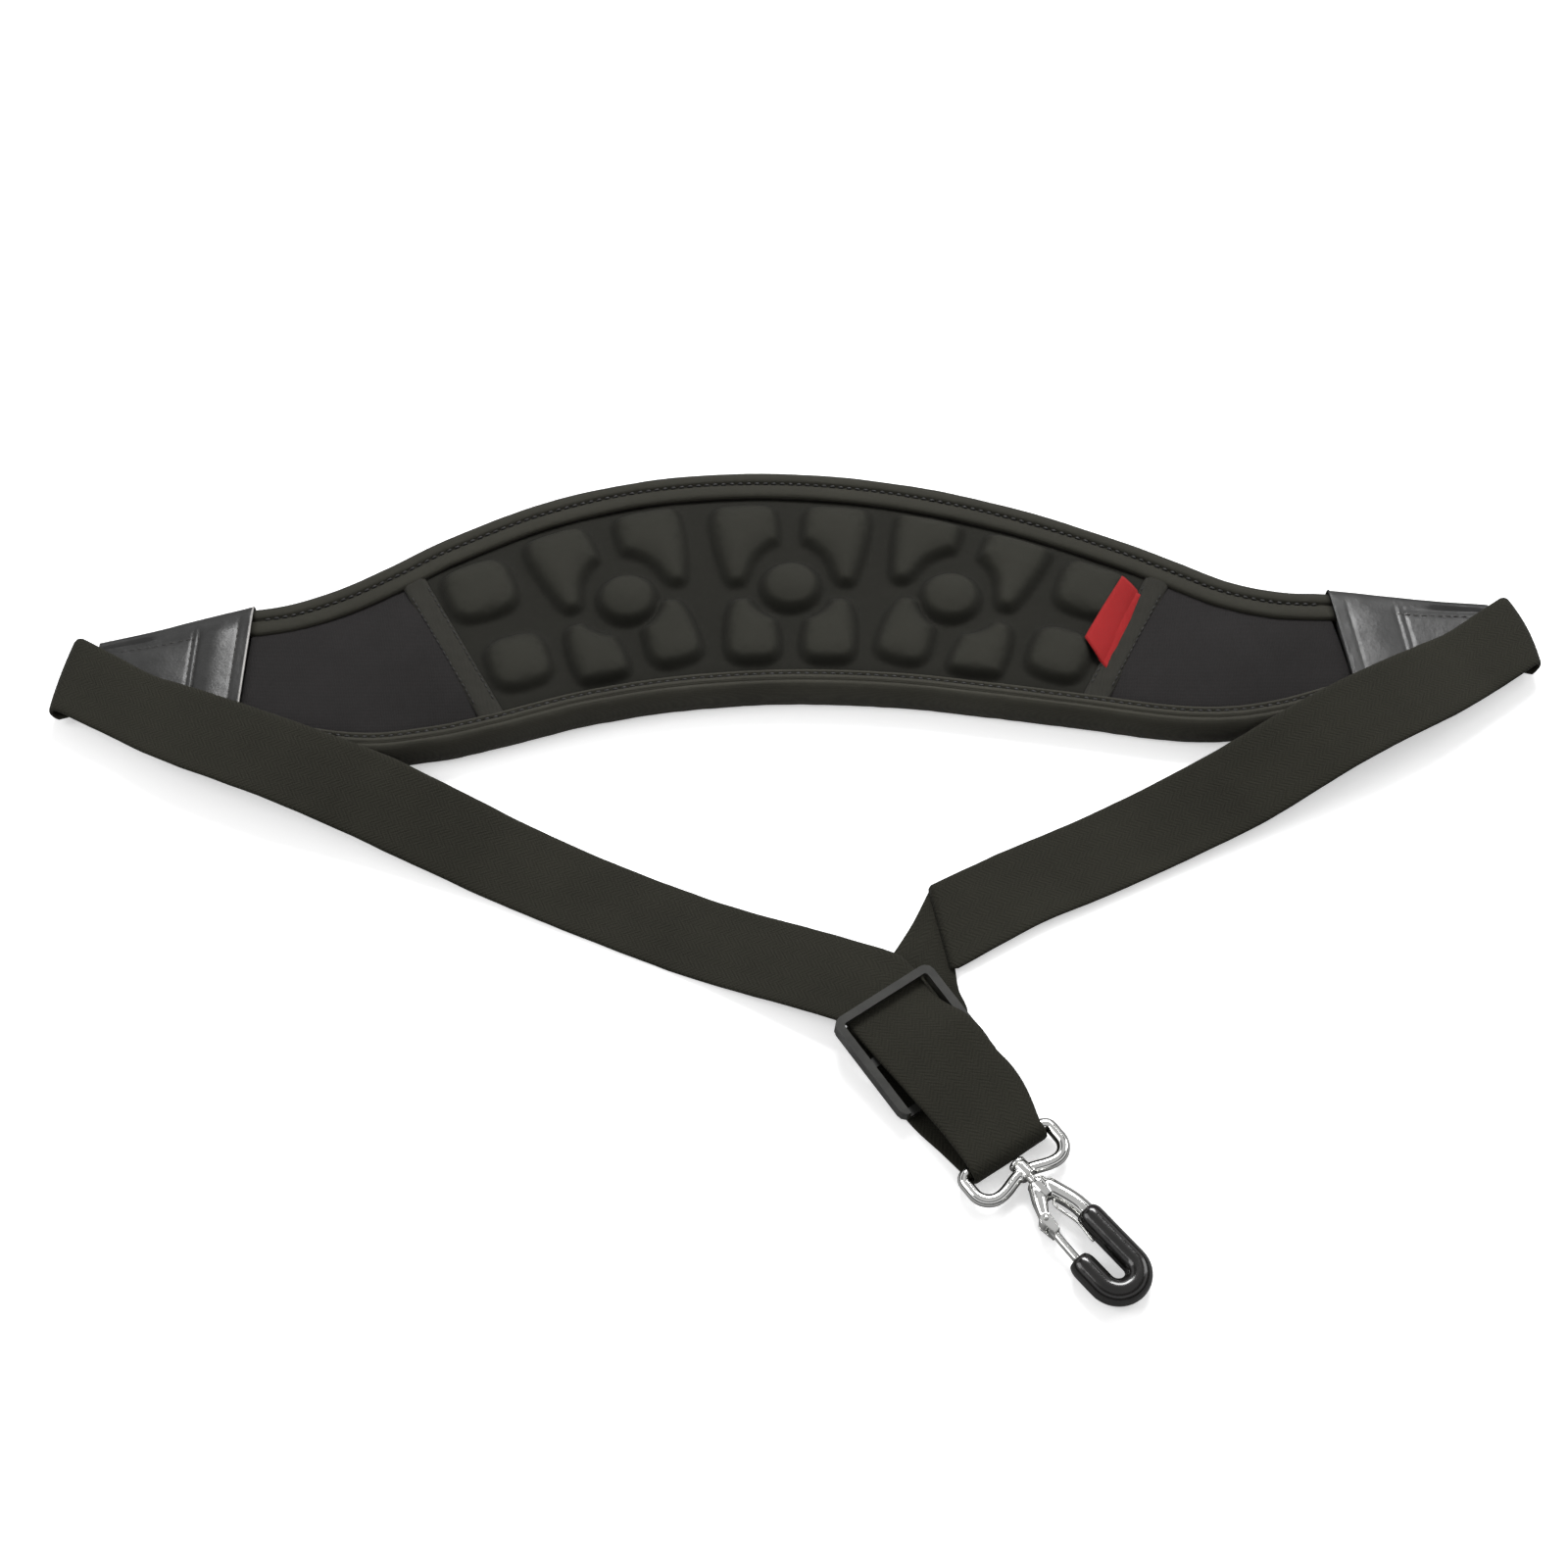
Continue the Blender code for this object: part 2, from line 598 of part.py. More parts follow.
def ribbon(pairs, name):
    """Webbing through pairs of edge points, its thickness square to the surface."""
    pairs = [(Vector(a), Vector(b)) for a, b in pairs]
    middles = [(a + b) / 2 for a, b in pairs]
    last = len(pairs) - 1
    rings = []
    for i, (a, b) in enumerate(pairs):
        along = middles[min(last, i + 1)] - middles[max(0, i - 1)]
        lift = along.cross(b - a).normalized() * (WEB_T / 2)
        rings.append([a + lift, b + lift, b - lift, a - lift])
    loft(rings, name, WEBBING)


def refine(rows):
    """Smooth a strand table and sample it evenly along its length."""
    lengths = [0.0]
    for a, b in zip(rows, rows[1:]):
        lengths.append(lengths[-1] + math.hypot(b[0] - a[0], b[1] - a[1]))
    columns = [list(zip(lengths, column)) for column in zip(*rows)]
    steps = max(2, round(lengths[-1] / STATION_STEP))
    return [tuple(smooth_value(column, at) for column in columns)
            for at in spaced(0.0, lengths[-1], steps)]


def strand_pairs(rows, side):
    """Edge pairs of a strand, pad-side edge first."""
    pairs = []
    for i, (x, y, z_pad, z_outer) in enumerate(rows):
        before, after = rows[max(0, i - 1)], rows[min(len(rows) - 1, i + 1)]
        dx, dy = after[0] - before[0], after[1] - before[1]
        length = math.hypot(dx, dy)
        across = (side * dy / length, -side * dx / length)
        pairs.append(edge_pair((x, y), across, WEB_HALF, z_pad, z_outer))
    return pairs


def build_left_strand():
    """Left strand, the loop's upper layer and the bend round the ring bar."""
    rows = refine(LEFT_STRAND)
    pairs = strand_pairs(rows, LEFT)
    strand = pairs[0]
    # The last station is mitred into the loop direction
    heading = math.degrees(math.atan2(rows[-1][1] - rows[-2][1], rows[-1][0] - rows[-2][0]))
    mitre_half = WEB_HALF / math.cos(math.radians(MITRE_HALF_TURN))
    pairs[-1] = edge_pair(loop_point(MITRE_S, 0, 0)[:2],
                          direction((heading + LOOP_DEG) / 2 + 90), mitre_half,
                          UPPER_Z, UPPER_Z)
    pairs += [loop_pair(s, half, UPPER_Z) for s, half in UPPER_STATIONS]
    radius = (UPPER_Z - LOWER_Z) / 2
    bend = arc((RING_S, RING_Z), radius, radius, 90, -90, 8)
    pairs += [loop_pair(s, WEB_HALF_TIGHT, z) for s, z in bend]
    ribbon(pairs, "webbing_left_strand")
    return strand


def build_lower_layer():
    pairs = [((xa, ya, z), (xb, yb, z)) for xa, ya, xb, yb, z in LOWER_FREE]
    pairs += [(loop_point(sa, ta, z), loop_point(sb, tb, z)) for sa, ta, sb, tb, z in LOWER_LOOP]
    pairs.append(loop_pair(RING_S - 0.3, WEB_HALF_TIGHT, LOWER_Z))
    ribbon(pairs, "webbing_lower_layer")


def build_right_strand():
    pairs = strand_pairs(refine(RIGHT_STRAND), RIGHT)
    pairs.append(RIGHT_STRAND_END)
    ribbon(pairs, "webbing_right_strand")
    return pairs[0]


def tip_pair(side, distance):
    """Webbing edges at a distance outwards from the tip's exit centre."""
    centre, exit_deg = TIPS[side][:2]
    dx, dy = direction(exit_deg)
    return edge_pair((centre[0] + dx * distance, centre[1] + dy * distance),
                     (-side * dy, side * dx), WEB_HALF_TIGHT, TIP_Z, TIP_Z)


def build_tip_turn(side, strand):
    """Half roll about the slanted fold line, from the leather back to the strand's start."""
    _, exit_deg, fold_centre, fold_deg = TIPS[side]
    exit_x, exit_y = direction(exit_deg)
    fold = direction(fold_deg)
    outward = (side * fold[1], -side * fold[0])
    half = WEB_HALF / abs(exit_x * fold[1] - exit_y * fold[0])
    pairs = [tip_pair(side, 0.0), tip_pair(side, TIP_STRAIGHT)]
    for reach, z in arc((-TIP_R, TIP_Z + TIP_R), TIP_R, TIP_R, -90, 90, 6):
        centre = (fold_centre[0] + outward[0] * reach, fold_centre[1] + outward[1] * reach)
        pairs.append(edge_pair(centre, fold, half, z, z))
    starts = [Vector(p) for p in pairs[-1]]
    ends = [Vector(p) for p in strand]
    pairs.append([(a + b) / 2 for a, b in zip(starts, ends)])
    pairs.append([b - (b - a).normalized() * JOIN_GAP for a, b in zip(starts, ends)])
    ribbon(pairs, "webbing_turn_" + SIDE_NAMES[side])


def build_anchor(side):
    """Webbing inside the end leather."""
    ribbon([tip_pair(side, -JOIN_GAP), tip_pair(side, -ANCHOR_LEN)],
           "webbing_anchor_" + SIDE_NAMES[side])


# ---------------------------------------------------------------- slider
def build_slider():
    """Tri-glide frame; local x is s, y is t, z up from the underside."""
    length, half = SLIDER_L, SLIDER_HALF
    inner = half - RAIL_W
    body = plate(rounded_rectangle(0, length, -half, half, 3.2, 3), 0.0, RAIL_H)
    window = rounded_rectangle(RAIL_W, length - RAIL_W, -inner, inner, 1.0, 2)
    boolean(body, plate(window, -1, RAIL_H + 1), "DIFFERENCE")
    # The hook-end bar lies low, the other end bar lies high
    hook_end = rectangle(length - RAIL_W - 1, length + 1, -inner, inner)
    boolean(body, plate(hook_end, BAR_H, RAIL_H + 1), "DIFFERENCE")
    far_end = rectangle(-1, RAIL_W + 1, -inner, inner)
    boolean(body, plate(far_end, -1, RAIL_H - BAR_H), "DIFFERENCE")
    middle_bar = rectangle(*MIDDLE_BAR_S, -half + 1.0, half - 1.0)
    boolean(body, plate(middle_bar, 0.0, BAR_H), "UNION")

    bevel = body.modifiers.new("bevel", "BEVEL")
    bevel.width = 0.45 * MM
    bevel.segments = 1
    bevel.limit_method = "ANGLE"
    bevel.angle_limit = math.radians(50)
    apply_modifiers(body)

    pitch = math.radians(SLIDER_PITCH)
    high_z = SLIDER_LOW_Z + length * math.sin(pitch)
    body.matrix_world = (Matrix.Translation(Vector((*LOOP_ORIGIN, high_z)) * MM)
                         @ Matrix.Rotation(math.radians(LOOP_DEG), 4, "Z")
                         @ Matrix.Rotation(pitch, 4, "Y"))
    finish(body, "slider_frame", BLACK_PLASTIC)


# ---------------------------------------------------------------- hook frame
def hook_point(h, w, z=0.0):
    return (*in_frame(HOOK_ORIGIN, HOOK_DEG, h, w), RING_Z + z)


def hook_wire(points, radius, resolution=2):
    return wire([hook_point(*p) for p in points], radius, resolution)


def axis_rod(h0, h1, radius):
    """Cylinder on the swivel axis."""
    return cylinder(hook_point(h0, POST_W), hook_point(h1, POST_W), radius)


def pin_rod(reach, radius, segments=16):
    """Upright cylinder on the gate pin's axis."""
    return cylinder(hook_point(GATE_H, GATE_W, -reach), hook_point(GATE_H, GATE_W, reach),
                    radius, segments)


# ---------------------------------------------------------------- ring and swivel
def ring_path():
    """Closed (s, t) path: bar, two round lobes, dipped middle on the hook side."""
    half = RING_IN + RING_R
    front = RING_FRONT - RING_R
    bar_half = half - RING_CORNER_R
    lobe_t = half - RING_LOBE_R
    lobe_s = front - RING_LOBE_R
    bar = [(RING_S, t) for t in spaced(-bar_half, bar_half, 4)]
    corner = arc((RING_S + RING_CORNER_R, bar_half), RING_CORNER_R, RING_CORNER_R, 180, 90, 4)
    lobe = arc((lobe_s, lobe_t), RING_LOBE_R, RING_LOBE_R, 90, 0, 6)
    flank = corner[1:] + lobe
    dip = [(front - RING_DIP * (0.5 + 0.5 * math.cos(math.pi * abs(t) / lobe_t)), t)
           for t in spaced(lobe_t, -lobe_t, 8)[1:-1]]
    # The mirrored flank returns without the corner point nearest the bar
    return bar + flank + dip + [(s, -t) for s, t in flank[:0:-1]]


def build_ring():
    """Kidney-shaped eye with a bored boss in its dipped middle."""
    ring = wire([loop_point(s, t, RING_Z) for s, t in ring_path()], RING_R, cyclic=True)
    boolean(ring, axis_rod(-6.1, -1.3, 3.0), "UNION")
    boolean(ring, axis_rod(-9, 3, SWIVEL_BORE_R), "DIFFERENCE")
    finish(ring, "eye_ring", CHROME, smooth=True)


def build_swivel_post():
    """Shank and head turned about the swivel axis."""
    bm = bmesh.new()
    verts = [bm.verts.new((r * MM, 0, z * MM)) for r, z in POST_PROFILE]
    for a, b in zip(verts, verts[1:]):
        bm.edges.new((a, b))
    post = work_object(mesh_from_bmesh(bm))
    screw = post.modifiers.new("screw", "SCREW")
    screw.axis = "Z"
    screw.steps = 20
    screw.render_steps = 20
    screw.use_merge_vertices = True
    screw.merge_threshold = 0.00001
    apply_modifiers(post)
    turn = Vector((*direction(HOOK_DEG), 0)).to_track_quat("Z", "Y").to_matrix().to_4x4()
    base = Vector(hook_point(POST_BASE_H, POST_W)) * MM
    post.data.transform(Matrix.Translation(base) @ turn)
    finish(post, "swivel_post", CHROME, smooth=True)


# ---------------------------------------------------------------- hook
def bend_path(nose_end):
    """(h, w) path up the spine, round the bend and down the nose to nose_end."""
    radius = (SPINE_W - NOSE_W) / 2
    centre = (BEND_H, (SPINE_W + NOSE_W) / 2)
    return ([(28.0, SPINE_W)] + arc(centre, radius, radius, 90, -90, 12)
            + [(nose_end, NOSE_W)])


def build_hook_body():
    """Collar, spine, bend, nose and gate arm in one casting."""
    body = hook_wire(SPINE_ROOT + bend_path(NOSE_H + 1.5), CORE_R, 3)
    boolean(body, axis_rod(0.9, 8.2, 3.4), "UNION")
    boolean(body, hook_wire([(5.4, -1.6), (9.0, -4.2), (GATE_H, GATE_W)], 1.5), "UNION")
    boolean(body, pin_rod(1.9, 2.1, 20), "UNION")
    boolean(body, pin_rod(6, GATE_BORE_R), "DIFFERENCE")
    boolean(body, axis_rod(-3, 6.9, SWIVEL_BORE_R), "DIFFERENCE")
    finish(body, "hook_body", CHROME, smooth=True)


def build_hook_coating():
    """Sleeve over the bend and nose; the bore runs past both of its ends."""
    def sleeve(start, nose_end, radius):
        path = [(start, SPINE_W), (20.0, SPINE_W)] + bend_path(nose_end)
        return hook_wire(path, radius, 3)

    coat = sleeve(COAT_H, NOSE_H, COAT_R)
    boolean(coat, sleeve(COAT_H - 2.0, NOSE_H + 1.2, CORE_R + COAT_CLEARANCE), "DIFFERENCE")
    finish(coat, "hook_coating", DIPPED_PLASTIC, smooth=True)


def gate_plate(outline, z0, z1):
    points = [hook_point(GATE_H + h, GATE_W + w)[:2] for h, w in outline]
    return plate(points, RING_Z + z0, RING_Z + z1)


def build_gate():
    """Two cheeks on the pin, a bridge between them and a lever bar reaching the nose."""
    inner, outer = CHEEK_Z
    gate = gate_plate(BRIDGE, -outer, outer)
    boolean(gate, gate_plate(CHEEK, -outer, -inner), "UNION")
    boolean(gate, gate_plate(CHEEK, inner, outer), "UNION")
    lever = [(GATE_H + 3.2, GATE_W - 0.1), (22.0, -7.8), (NOSE_H - 0.6, NOSE_W)]
    boolean(gate, hook_wire(lever, 1.35), "UNION")
    boolean(gate, pin_rod(6, GATE_BORE_R), "DIFFERENCE")
    finish(gate, "gate", CHROME)


def build_gate_pin():
    finish(pin_rod(3.6, 0.8), "gate_pin", SPRING_STEEL, smooth=True)


def build_gate_spring():
    """Thin wire from the casting along the inner side of the spine."""
    path = [(9.6, -0.1, 0.6), (11.5, -1.3, 0.6), (18.5, 0.1, 0.6), (24.6, -0.4, 0.6)]
    finish(hook_wire(path, 0.45), "gate_spring", SPRING_STEEL, smooth=True)


# ---------------------------------------------------------------- assembly
build_back_panel()
build_foam()
build_cell_panel()
build_air_cell_sheet()
build_binding("back", BACK_EDGE)
build_binding("front", FRONT_EDGE)
build_label_tab()
strand_starts = {LEFT: build_left_strand(), RIGHT: build_right_strand()}
build_lower_layer()
for strap_side in (LEFT, RIGHT):
    build_wing_panel(strap_side)
    build_seam_tape(strap_side)
    build_end_cap(strap_side)
    build_tip_turn(strap_side, strand_starts[strap_side])
    build_anchor(strap_side)
build_slider()
build_ring()
build_swivel_post()
build_hook_body()
build_hook_coating()
build_gate()
build_gate_pin()
build_gate_spring()
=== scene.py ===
# Padded carrying strap laid on a table: a curved pad runs along x, and webbing turns back at
# both leather tips, meets in front of the pad, and carries a slider, an eye ring and a snap hook.
# +x is right, +y is back, +z is up. Sizes are millimetres until a mesh is made in metres.
import math
import bpy
import bmesh
import numpy as np
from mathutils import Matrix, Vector


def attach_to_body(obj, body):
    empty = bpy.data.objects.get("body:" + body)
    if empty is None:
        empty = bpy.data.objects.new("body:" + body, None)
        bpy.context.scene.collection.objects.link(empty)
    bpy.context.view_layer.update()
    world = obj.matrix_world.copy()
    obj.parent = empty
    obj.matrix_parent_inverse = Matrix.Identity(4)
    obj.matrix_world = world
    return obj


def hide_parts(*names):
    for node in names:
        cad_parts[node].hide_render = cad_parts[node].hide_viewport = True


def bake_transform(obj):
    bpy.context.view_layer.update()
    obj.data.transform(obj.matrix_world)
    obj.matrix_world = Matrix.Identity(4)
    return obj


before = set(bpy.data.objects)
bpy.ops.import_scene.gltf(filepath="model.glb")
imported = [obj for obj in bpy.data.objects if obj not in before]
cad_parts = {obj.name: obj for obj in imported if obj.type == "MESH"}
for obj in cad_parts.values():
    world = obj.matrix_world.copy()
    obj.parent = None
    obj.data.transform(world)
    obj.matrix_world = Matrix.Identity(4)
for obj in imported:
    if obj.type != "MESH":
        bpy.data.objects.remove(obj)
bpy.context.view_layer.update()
DETAIL = 1.0      # share of the full grid counts
MM = 0.001
RNG = np.random.default_rng(7)
COLLECTION = bpy.data.collections.new("looks")
bpy.context.scene.collection.children.link(COLLECTION)

# ---------------------------------------------------------------- driving dimensions
TABLE = -1.3                        # height of the table top
# pad outline: (x, y)
BACK_EDGE = [(-187, -8.6), (-174, -5.9), (-158, 0.7), (-141, 10.7), (-124, 21.7), (-90, 38.7),
             (-55, 49.0), (-20, 52.9), (15, 51.7), (50, 45.7), (85, 35.2), (120, 20.7),
             (137, 12.2), (153, 4.2), (170, -0.4), (187, -1.4)]
FRONT_EDGE = [(-187, -61), (-165, -68), (-143, -70.5), (-122, -68), (-102, -63), (-70, -53),
              (-36, -46.5), (0, -44), (32, -45), (65, -49), (98, -54), (130, -59),
              (150, -59.5), (168, -56.5), (187, -50.5)]
BACK_BAND = 4.2                     # the back binding is this much wider than the front one
# leather ends by side (-1 left, 1 right), stations from the wide end out: (x, back y, front y)
LEATHER = {-1: [(-187.3, -8.6, -61), (-205, -12.4, -57.5), (-222, -16.2, -54.6),
                (-240.5, -19.6, -52.6)],
           1: [(190.0, -1.4, -49.5), (206, -1.9, -46), (224, -2.6, -41.0), (244.5, -2.8, -35.5)]}
SKEW_LEFT, SKEW_RIGHT = 1.5, 6.5    # x shift of the wide end between its back and front corners
RIGHT_SETBACK = 2.0
# seam tapes across the pad: back end, front end
TAPE_LEFT = ((-132.6, 3.0), (-102.6, -53.5))
TAPE_RIGHT = ((130.5, 7.0), (105.6, -44.0))
TAPE_WIDTH = 9.6
DOMES = [(-57.0, -5.6), (0.0, 0.0), (55.7, -4.7)]
DOME_RADIUS = 10.0
LEFT_TIP, RIGHT_TIP = (-251.0, -35.5), (255.2, -17.0)
# webbing centre line from each tip: (x, y, z of back edge, z of front edge)
LEFT_STRAND = [(-225.5, -51.0, 9.4, 8.4), (-195, -64.5, 12.9, 10.6), (-165, -77, 13.2, 9.8),
               (-140, -87.5, 12.2, 6.0), (-116, -98.5, 7.6, 2.8), (-90, -110.5, 2.4, 0.2),
               (-57.5, -125.2, -0.4, -0.5), (-30, -137, -0.2, -0.4), (-8, -146.2, 2.4, 2.2),
               (10, -153.6, 5.6, 5.4)]
RIGHT_STRAND = [(234.5, -32.5, 9.0, 8.2), (205, -49.5, 12.8, 10.8), (180, -64.0, 12.6, 9.0),
                (154, -79.5, 8.8, 4.2), (128, -93.2, 4.4, 2.2), (102, -106.4, 2.4, 1.8),
                (76, -118.8, 1.9, 1.8)]
CREASE = ((45.2, -117.0), (52.0, -150.0))
WEB_THICKNESS, WEB_HALF = 1.4, 15.0
RING_WEB_HALF = 14.2                # half width where the webbing is held in at tips and ring
Z_UPPER, Z_LOWER = 6.8, -0.3        # the two webbing layers of the loop
Z_MID = (Z_UPPER + Z_LOWER) / 2
LOOP_ORIGIN, LOOP_DEG = (28.0, -163.0), -54.3
HOOK_ORIGIN, HOOK_DEG = (75.4, -226.6), -50.5
# eye ring, in the loop frame: back bar, wire radius, inner half width, front face
RING_S, RING_WIRE, RING_INNER, RING_FRONT = 66.0, 2.1, 14.9, 80.4
# snap hook, in the hook frame: _H is along it, _W is across it
COAT_RADIUS, CORE_RADIUS = 4.3, 3.05
SPINE_W, NOSE_W, POST_W, GATE_W = 4.8, -8.2, -0.6, -7.2
BEND_H, COAT_H, NOSE_H, GATE_H = 40.2, 18.8, 29.5, 13.4


def local_frame(origin, degrees):
    """Placing function for (along, across) in a frame turned in the table plane."""
    c, s = math.cos(math.radians(degrees)), math.sin(math.radians(degrees))

    def place(along, across):
        return (origin[0] + c * along - s * across, origin[1] + s * along + c * across)
    return place


on_loop = local_frame(LOOP_ORIGIN, LOOP_DEG)
on_hook = local_frame(HOOK_ORIGIN, HOOK_DEG)


def loop_point(along, across, z):
    return (*on_loop(along, across), z)


def hook_point(along, across, z=0.0):
    return (*on_hook(along, across), Z_MID + z)


def spline(points, x):
    """Smooth curve through (x, y) points, straight beyond the ends."""
    xs = [p[0] for p in points]
    ys = [p[1] for p in points]
    n = len(xs)
    if x <= xs[0]:
        return ys[0] + (x - xs[0]) * (ys[1] - ys[0]) / (xs[1] - xs[0])
    if x >= xs[-1]:
        return ys[-1] + (x - xs[-1]) * (ys[-1] - ys[-2]) / (xs[-1] - xs[-2])
    i = max(k for k in range(n - 1) if xs[k] <= x)

    def slope(k):
        a, b = max(0, k - 1), min(n - 1, k + 1)
        return (ys[b] - ys[a]) / (xs[b] - xs[a])
    h = xs[i + 1] - xs[i]
    t = (x - xs[i]) / h
    return ((2 * t**3 - 3 * t**2 + 1) * ys[i] + (t**3 - 2 * t**2 + t) * h * slope(i)
            + (-2 * t**3 + 3 * t**2) * ys[i + 1] + (t**3 - t**2) * h * slope(i + 1))


def spline_at(points, x):
    """spline() over an array of x."""
    return np.array([spline(points, value) for value in x.ravel()]).reshape(x.shape)


def edge_point(edge, x, inset, sign):
    """Point at a distance inside a pad edge; sign is -1 for the back edge and 1 for the front."""
    slope = spline(edge, x + 0.5) - spline(edge, x - 0.5)
    n = math.hypot(1, slope)
    return (x - sign * slope * inset / n, spline(edge, x) + sign * inset / n)


def leather_x(side, x, station, share):
    """Skewed x at a station (0 wide end, 3 narrow end), at a share of the way to the front."""
    if side < 0:
        return x - SKEW_LEFT * share * (1 - station / 3)
    return (x - RIGHT_SETBACK * (1 - station / 3)
            + SKEW_RIGHT * share * (1 - 0.5 * station / 3))


def wide_end_x(side, y):
    x, back, front = LEATHER[side][0]
    return leather_x(side, x, 0, (back - y) / (back - front))


def wave_noise(x, y, scale, seed):
    """Sum of random plane waves in three octaves, for hand-made irregularity."""
    rng = np.random.default_rng(seed)
    out = np.zeros(np.shape(x))
    for octave in range(3):
        for _ in range(5):
            angle = rng.uniform(0, 2 * np.pi)
            k = 2 * np.pi / (scale / 2**octave) * rng.uniform(0.6, 1.4)
            phase = rng.uniform(0, 6.28)
            out = out + np.sin((np.cos(angle) * x + np.sin(angle) * y) * k + phase) / 2**octave
    return out / 5.0


# ---------------------------------------------------------------- materials
class Graph:
    """Node tree of a material or world, with short ways to add and wire nodes."""

    def __init__(self, owner):
        owner.use_nodes = True
        self.owner = owner
        self.tree = owner.node_tree

    def feed(self, socket, value):
        if isinstance(value, bpy.types.NodeSocket):
            self.tree.links.new(value, socket)
        else:
            socket.default_value = value

    def node(self, kind, inputs=(), **settings):
        """Add a node, fill its inputs and return its outputs."""
        node = self.tree.nodes.new("ShaderNode" + kind)
        for key, value in settings.items():
            setattr(node, key, value)
        for key, value in dict(inputs).items():
            self.feed(node.inputs[key], value)
        return node.outputs

    def surface(self, inputs):
        for key, value in inputs.items():
            self.feed(self.tree.nodes["Principled BSDF"].inputs[key], value)

    def coords(self, kind="Object"):
        return self.node("TexCoord")[kind]

    def calc(self, operation, *values, clamp=False):
        return self.node("Math", enumerate(values), operation=operation, use_clamp=clamp)[0]

    def affine(self, value, gain, offset):
        return self.calc("ADD", self.calc("MULTIPLY", value, gain), offset)

    def blend(self, a, weight_a, b, weight_b):
        return self.calc("ADD", self.calc("MULTIPLY", a, weight_a),
                         self.calc("MULTIPLY", b, weight_b))

    def wave(self, value, period):
        return self.calc("SINE", self.calc("MULTIPLY", value, 2 * math.pi / period))

    def to_unit(self, value):
        """-1..1 to 0..1"""
        return self.calc("MULTIPLY", self.calc("ADD", value, 1.0), 0.5)

    def mix(self, factor, a, b):
        return self.node("Mix", {"Factor": factor, 6: a, 7: b}, data_type="RGBA")[2]

    def ramp(self, factor, low_color, high_color, low=0.0, high=1.0):
        out = self.node("ValToRGB", {0: factor})[0]
        stops = out.node.color_ramp.elements
        for stop, position, color in ((stops[0], low, low_color), (stops[1], high, high_color)):
            stop.position = position
            stop.color = (*color, 1)
        return out

    def tones(self, factor, color, dark, light, low=0.3, high=0.7):
        """Ramp between two multiples of one colour."""
        return self.ramp(factor, [c * dark for c in color], [c * light for c in color], low, high)

    def noise(self, coords, scale, detail):
        return self.node("TexNoise", {"Scale": scale, "Detail": detail, "Roughness": 0.55,
                                      "Vector": coords})["Fac"]

    def bumps(self, *layers):
        """Stack bump layers, each (height, strength, depth in metres), on the surface normal."""
        normal = None
        for height, strength, depth in layers:
            inputs = {"Strength": strength, "Distance": depth, "Height": height}
            if normal is not None:
                inputs["Normal"] = normal
            normal = self.node("Bump", inputs)["Normal"]
        self.surface({"Normal": normal})


def new_material(name):
    return Graph(bpy.data.materials.new(name))


CLOTH_SPECULAR_TINT = (1.0, 0.98, 0.84, 1)


def cloth_material(name, pitch, vary, rough, bump, sheen, specular, color, crossing, lift=None):
    """Fine woven or knitted cloth: crossed diagonal threads, lint and slow tone changes; lift
    paints shade into low places and light onto high places.
    """
    g = new_material(name)
    coords = g.coords()
    x, y, z = g.node("SeparateXYZ", {0: coords})
    weave = g.to_unit(g.calc("MULTIPLY", g.wave(g.calc("ADD", x, y), pitch * MM),
                             g.wave(g.calc("SUBTRACT", x, y), pitch * MM)))
    slow = g.noise(coords, scale=22, detail=5)
    fine = g.noise(coords, scale=1900, detail=2)
    base = g.tones(g.blend(slow, 0.6, fine, 0.4), color, dark=1 - vary, light=1 + vary)
    tone = g.mix(g.calc("MULTIPLY", weave, 0.22), base, (*crossing, 1))
    if lift:
        # painted shade and light: by height, hollows are darkened and high places brightened
        low_z, high_z, hollow_shade_tone, top_light_tone = lift
        height = g.calc("DIVIDE", g.calc("SUBTRACT", z, low_z * MM), (high_z - low_z) * MM,
                        clamp=True)
        gain = g.affine(height, top_light_tone - hollow_shade_tone, hollow_shade_tone)
        tone = g.node("VectorMath", {0: tone, "Scale": gain}, operation="SCALE")[0]
    g.surface({"Base Color": tone,
               "Roughness": g.affine(fine, 0.2, rough - 0.1),
               "Specular IOR Level": specular,
               "Specular Tint": CLOTH_SPECULAR_TINT,
               "Sheen Weight": sheen,
               "Sheen Roughness": 0.5})
    g.bumps((weave, bump, 0.00022), (slow, 0.25, 0.0012), (fine, 0.25, 0.0001))
    return g.owner


def webbing_material(name, color):
    """Woven webbing over UV (mm along, mm across): ribs, herringbone picks and lint."""
    g = new_material(name)
    x, y, _ = g.node("SeparateXYZ", {0: g.coords("UV")})
    pick = g.wave(x, period=1.15)
    rib = g.wave(y, period=1.0)
    fold = g.calc("MULTIPLY", g.calc("PINGPONG", y, 3.0), 1.0)
    zigzag = g.wave(g.calc("ADD", x, fold), period=1.6)
    weave = g.to_unit(g.blend(g.calc("MULTIPLY", pick, rib), 0.5, zigzag, 0.5))
    coords = g.coords()
    slow = g.noise(coords, scale=30, detail=5)
    lint = g.noise(coords, scale=2400, detail=2)
    base = g.tones(g.blend(slow, 0.55, lint, 0.45), color, dark=0.6, light=1.5,
                   low=0.32, high=0.68)
    tone = g.mix(g.calc("MULTIPLY", weave, 0.30), base, (0.036, 0.035, 0.026, 1))
    g.surface({"Base Color": tone,
               "Roughness": 0.78,
               "Specular IOR Level": 0.16,
               "Specular Tint": CLOTH_SPECULAR_TINT,
               "Sheen Weight": 0.03})
    g.bumps((weave, 0.55, 0.00030), (lint, 0.3, 0.00012), (slow, 0.2, 0.0010))
    return g.owner


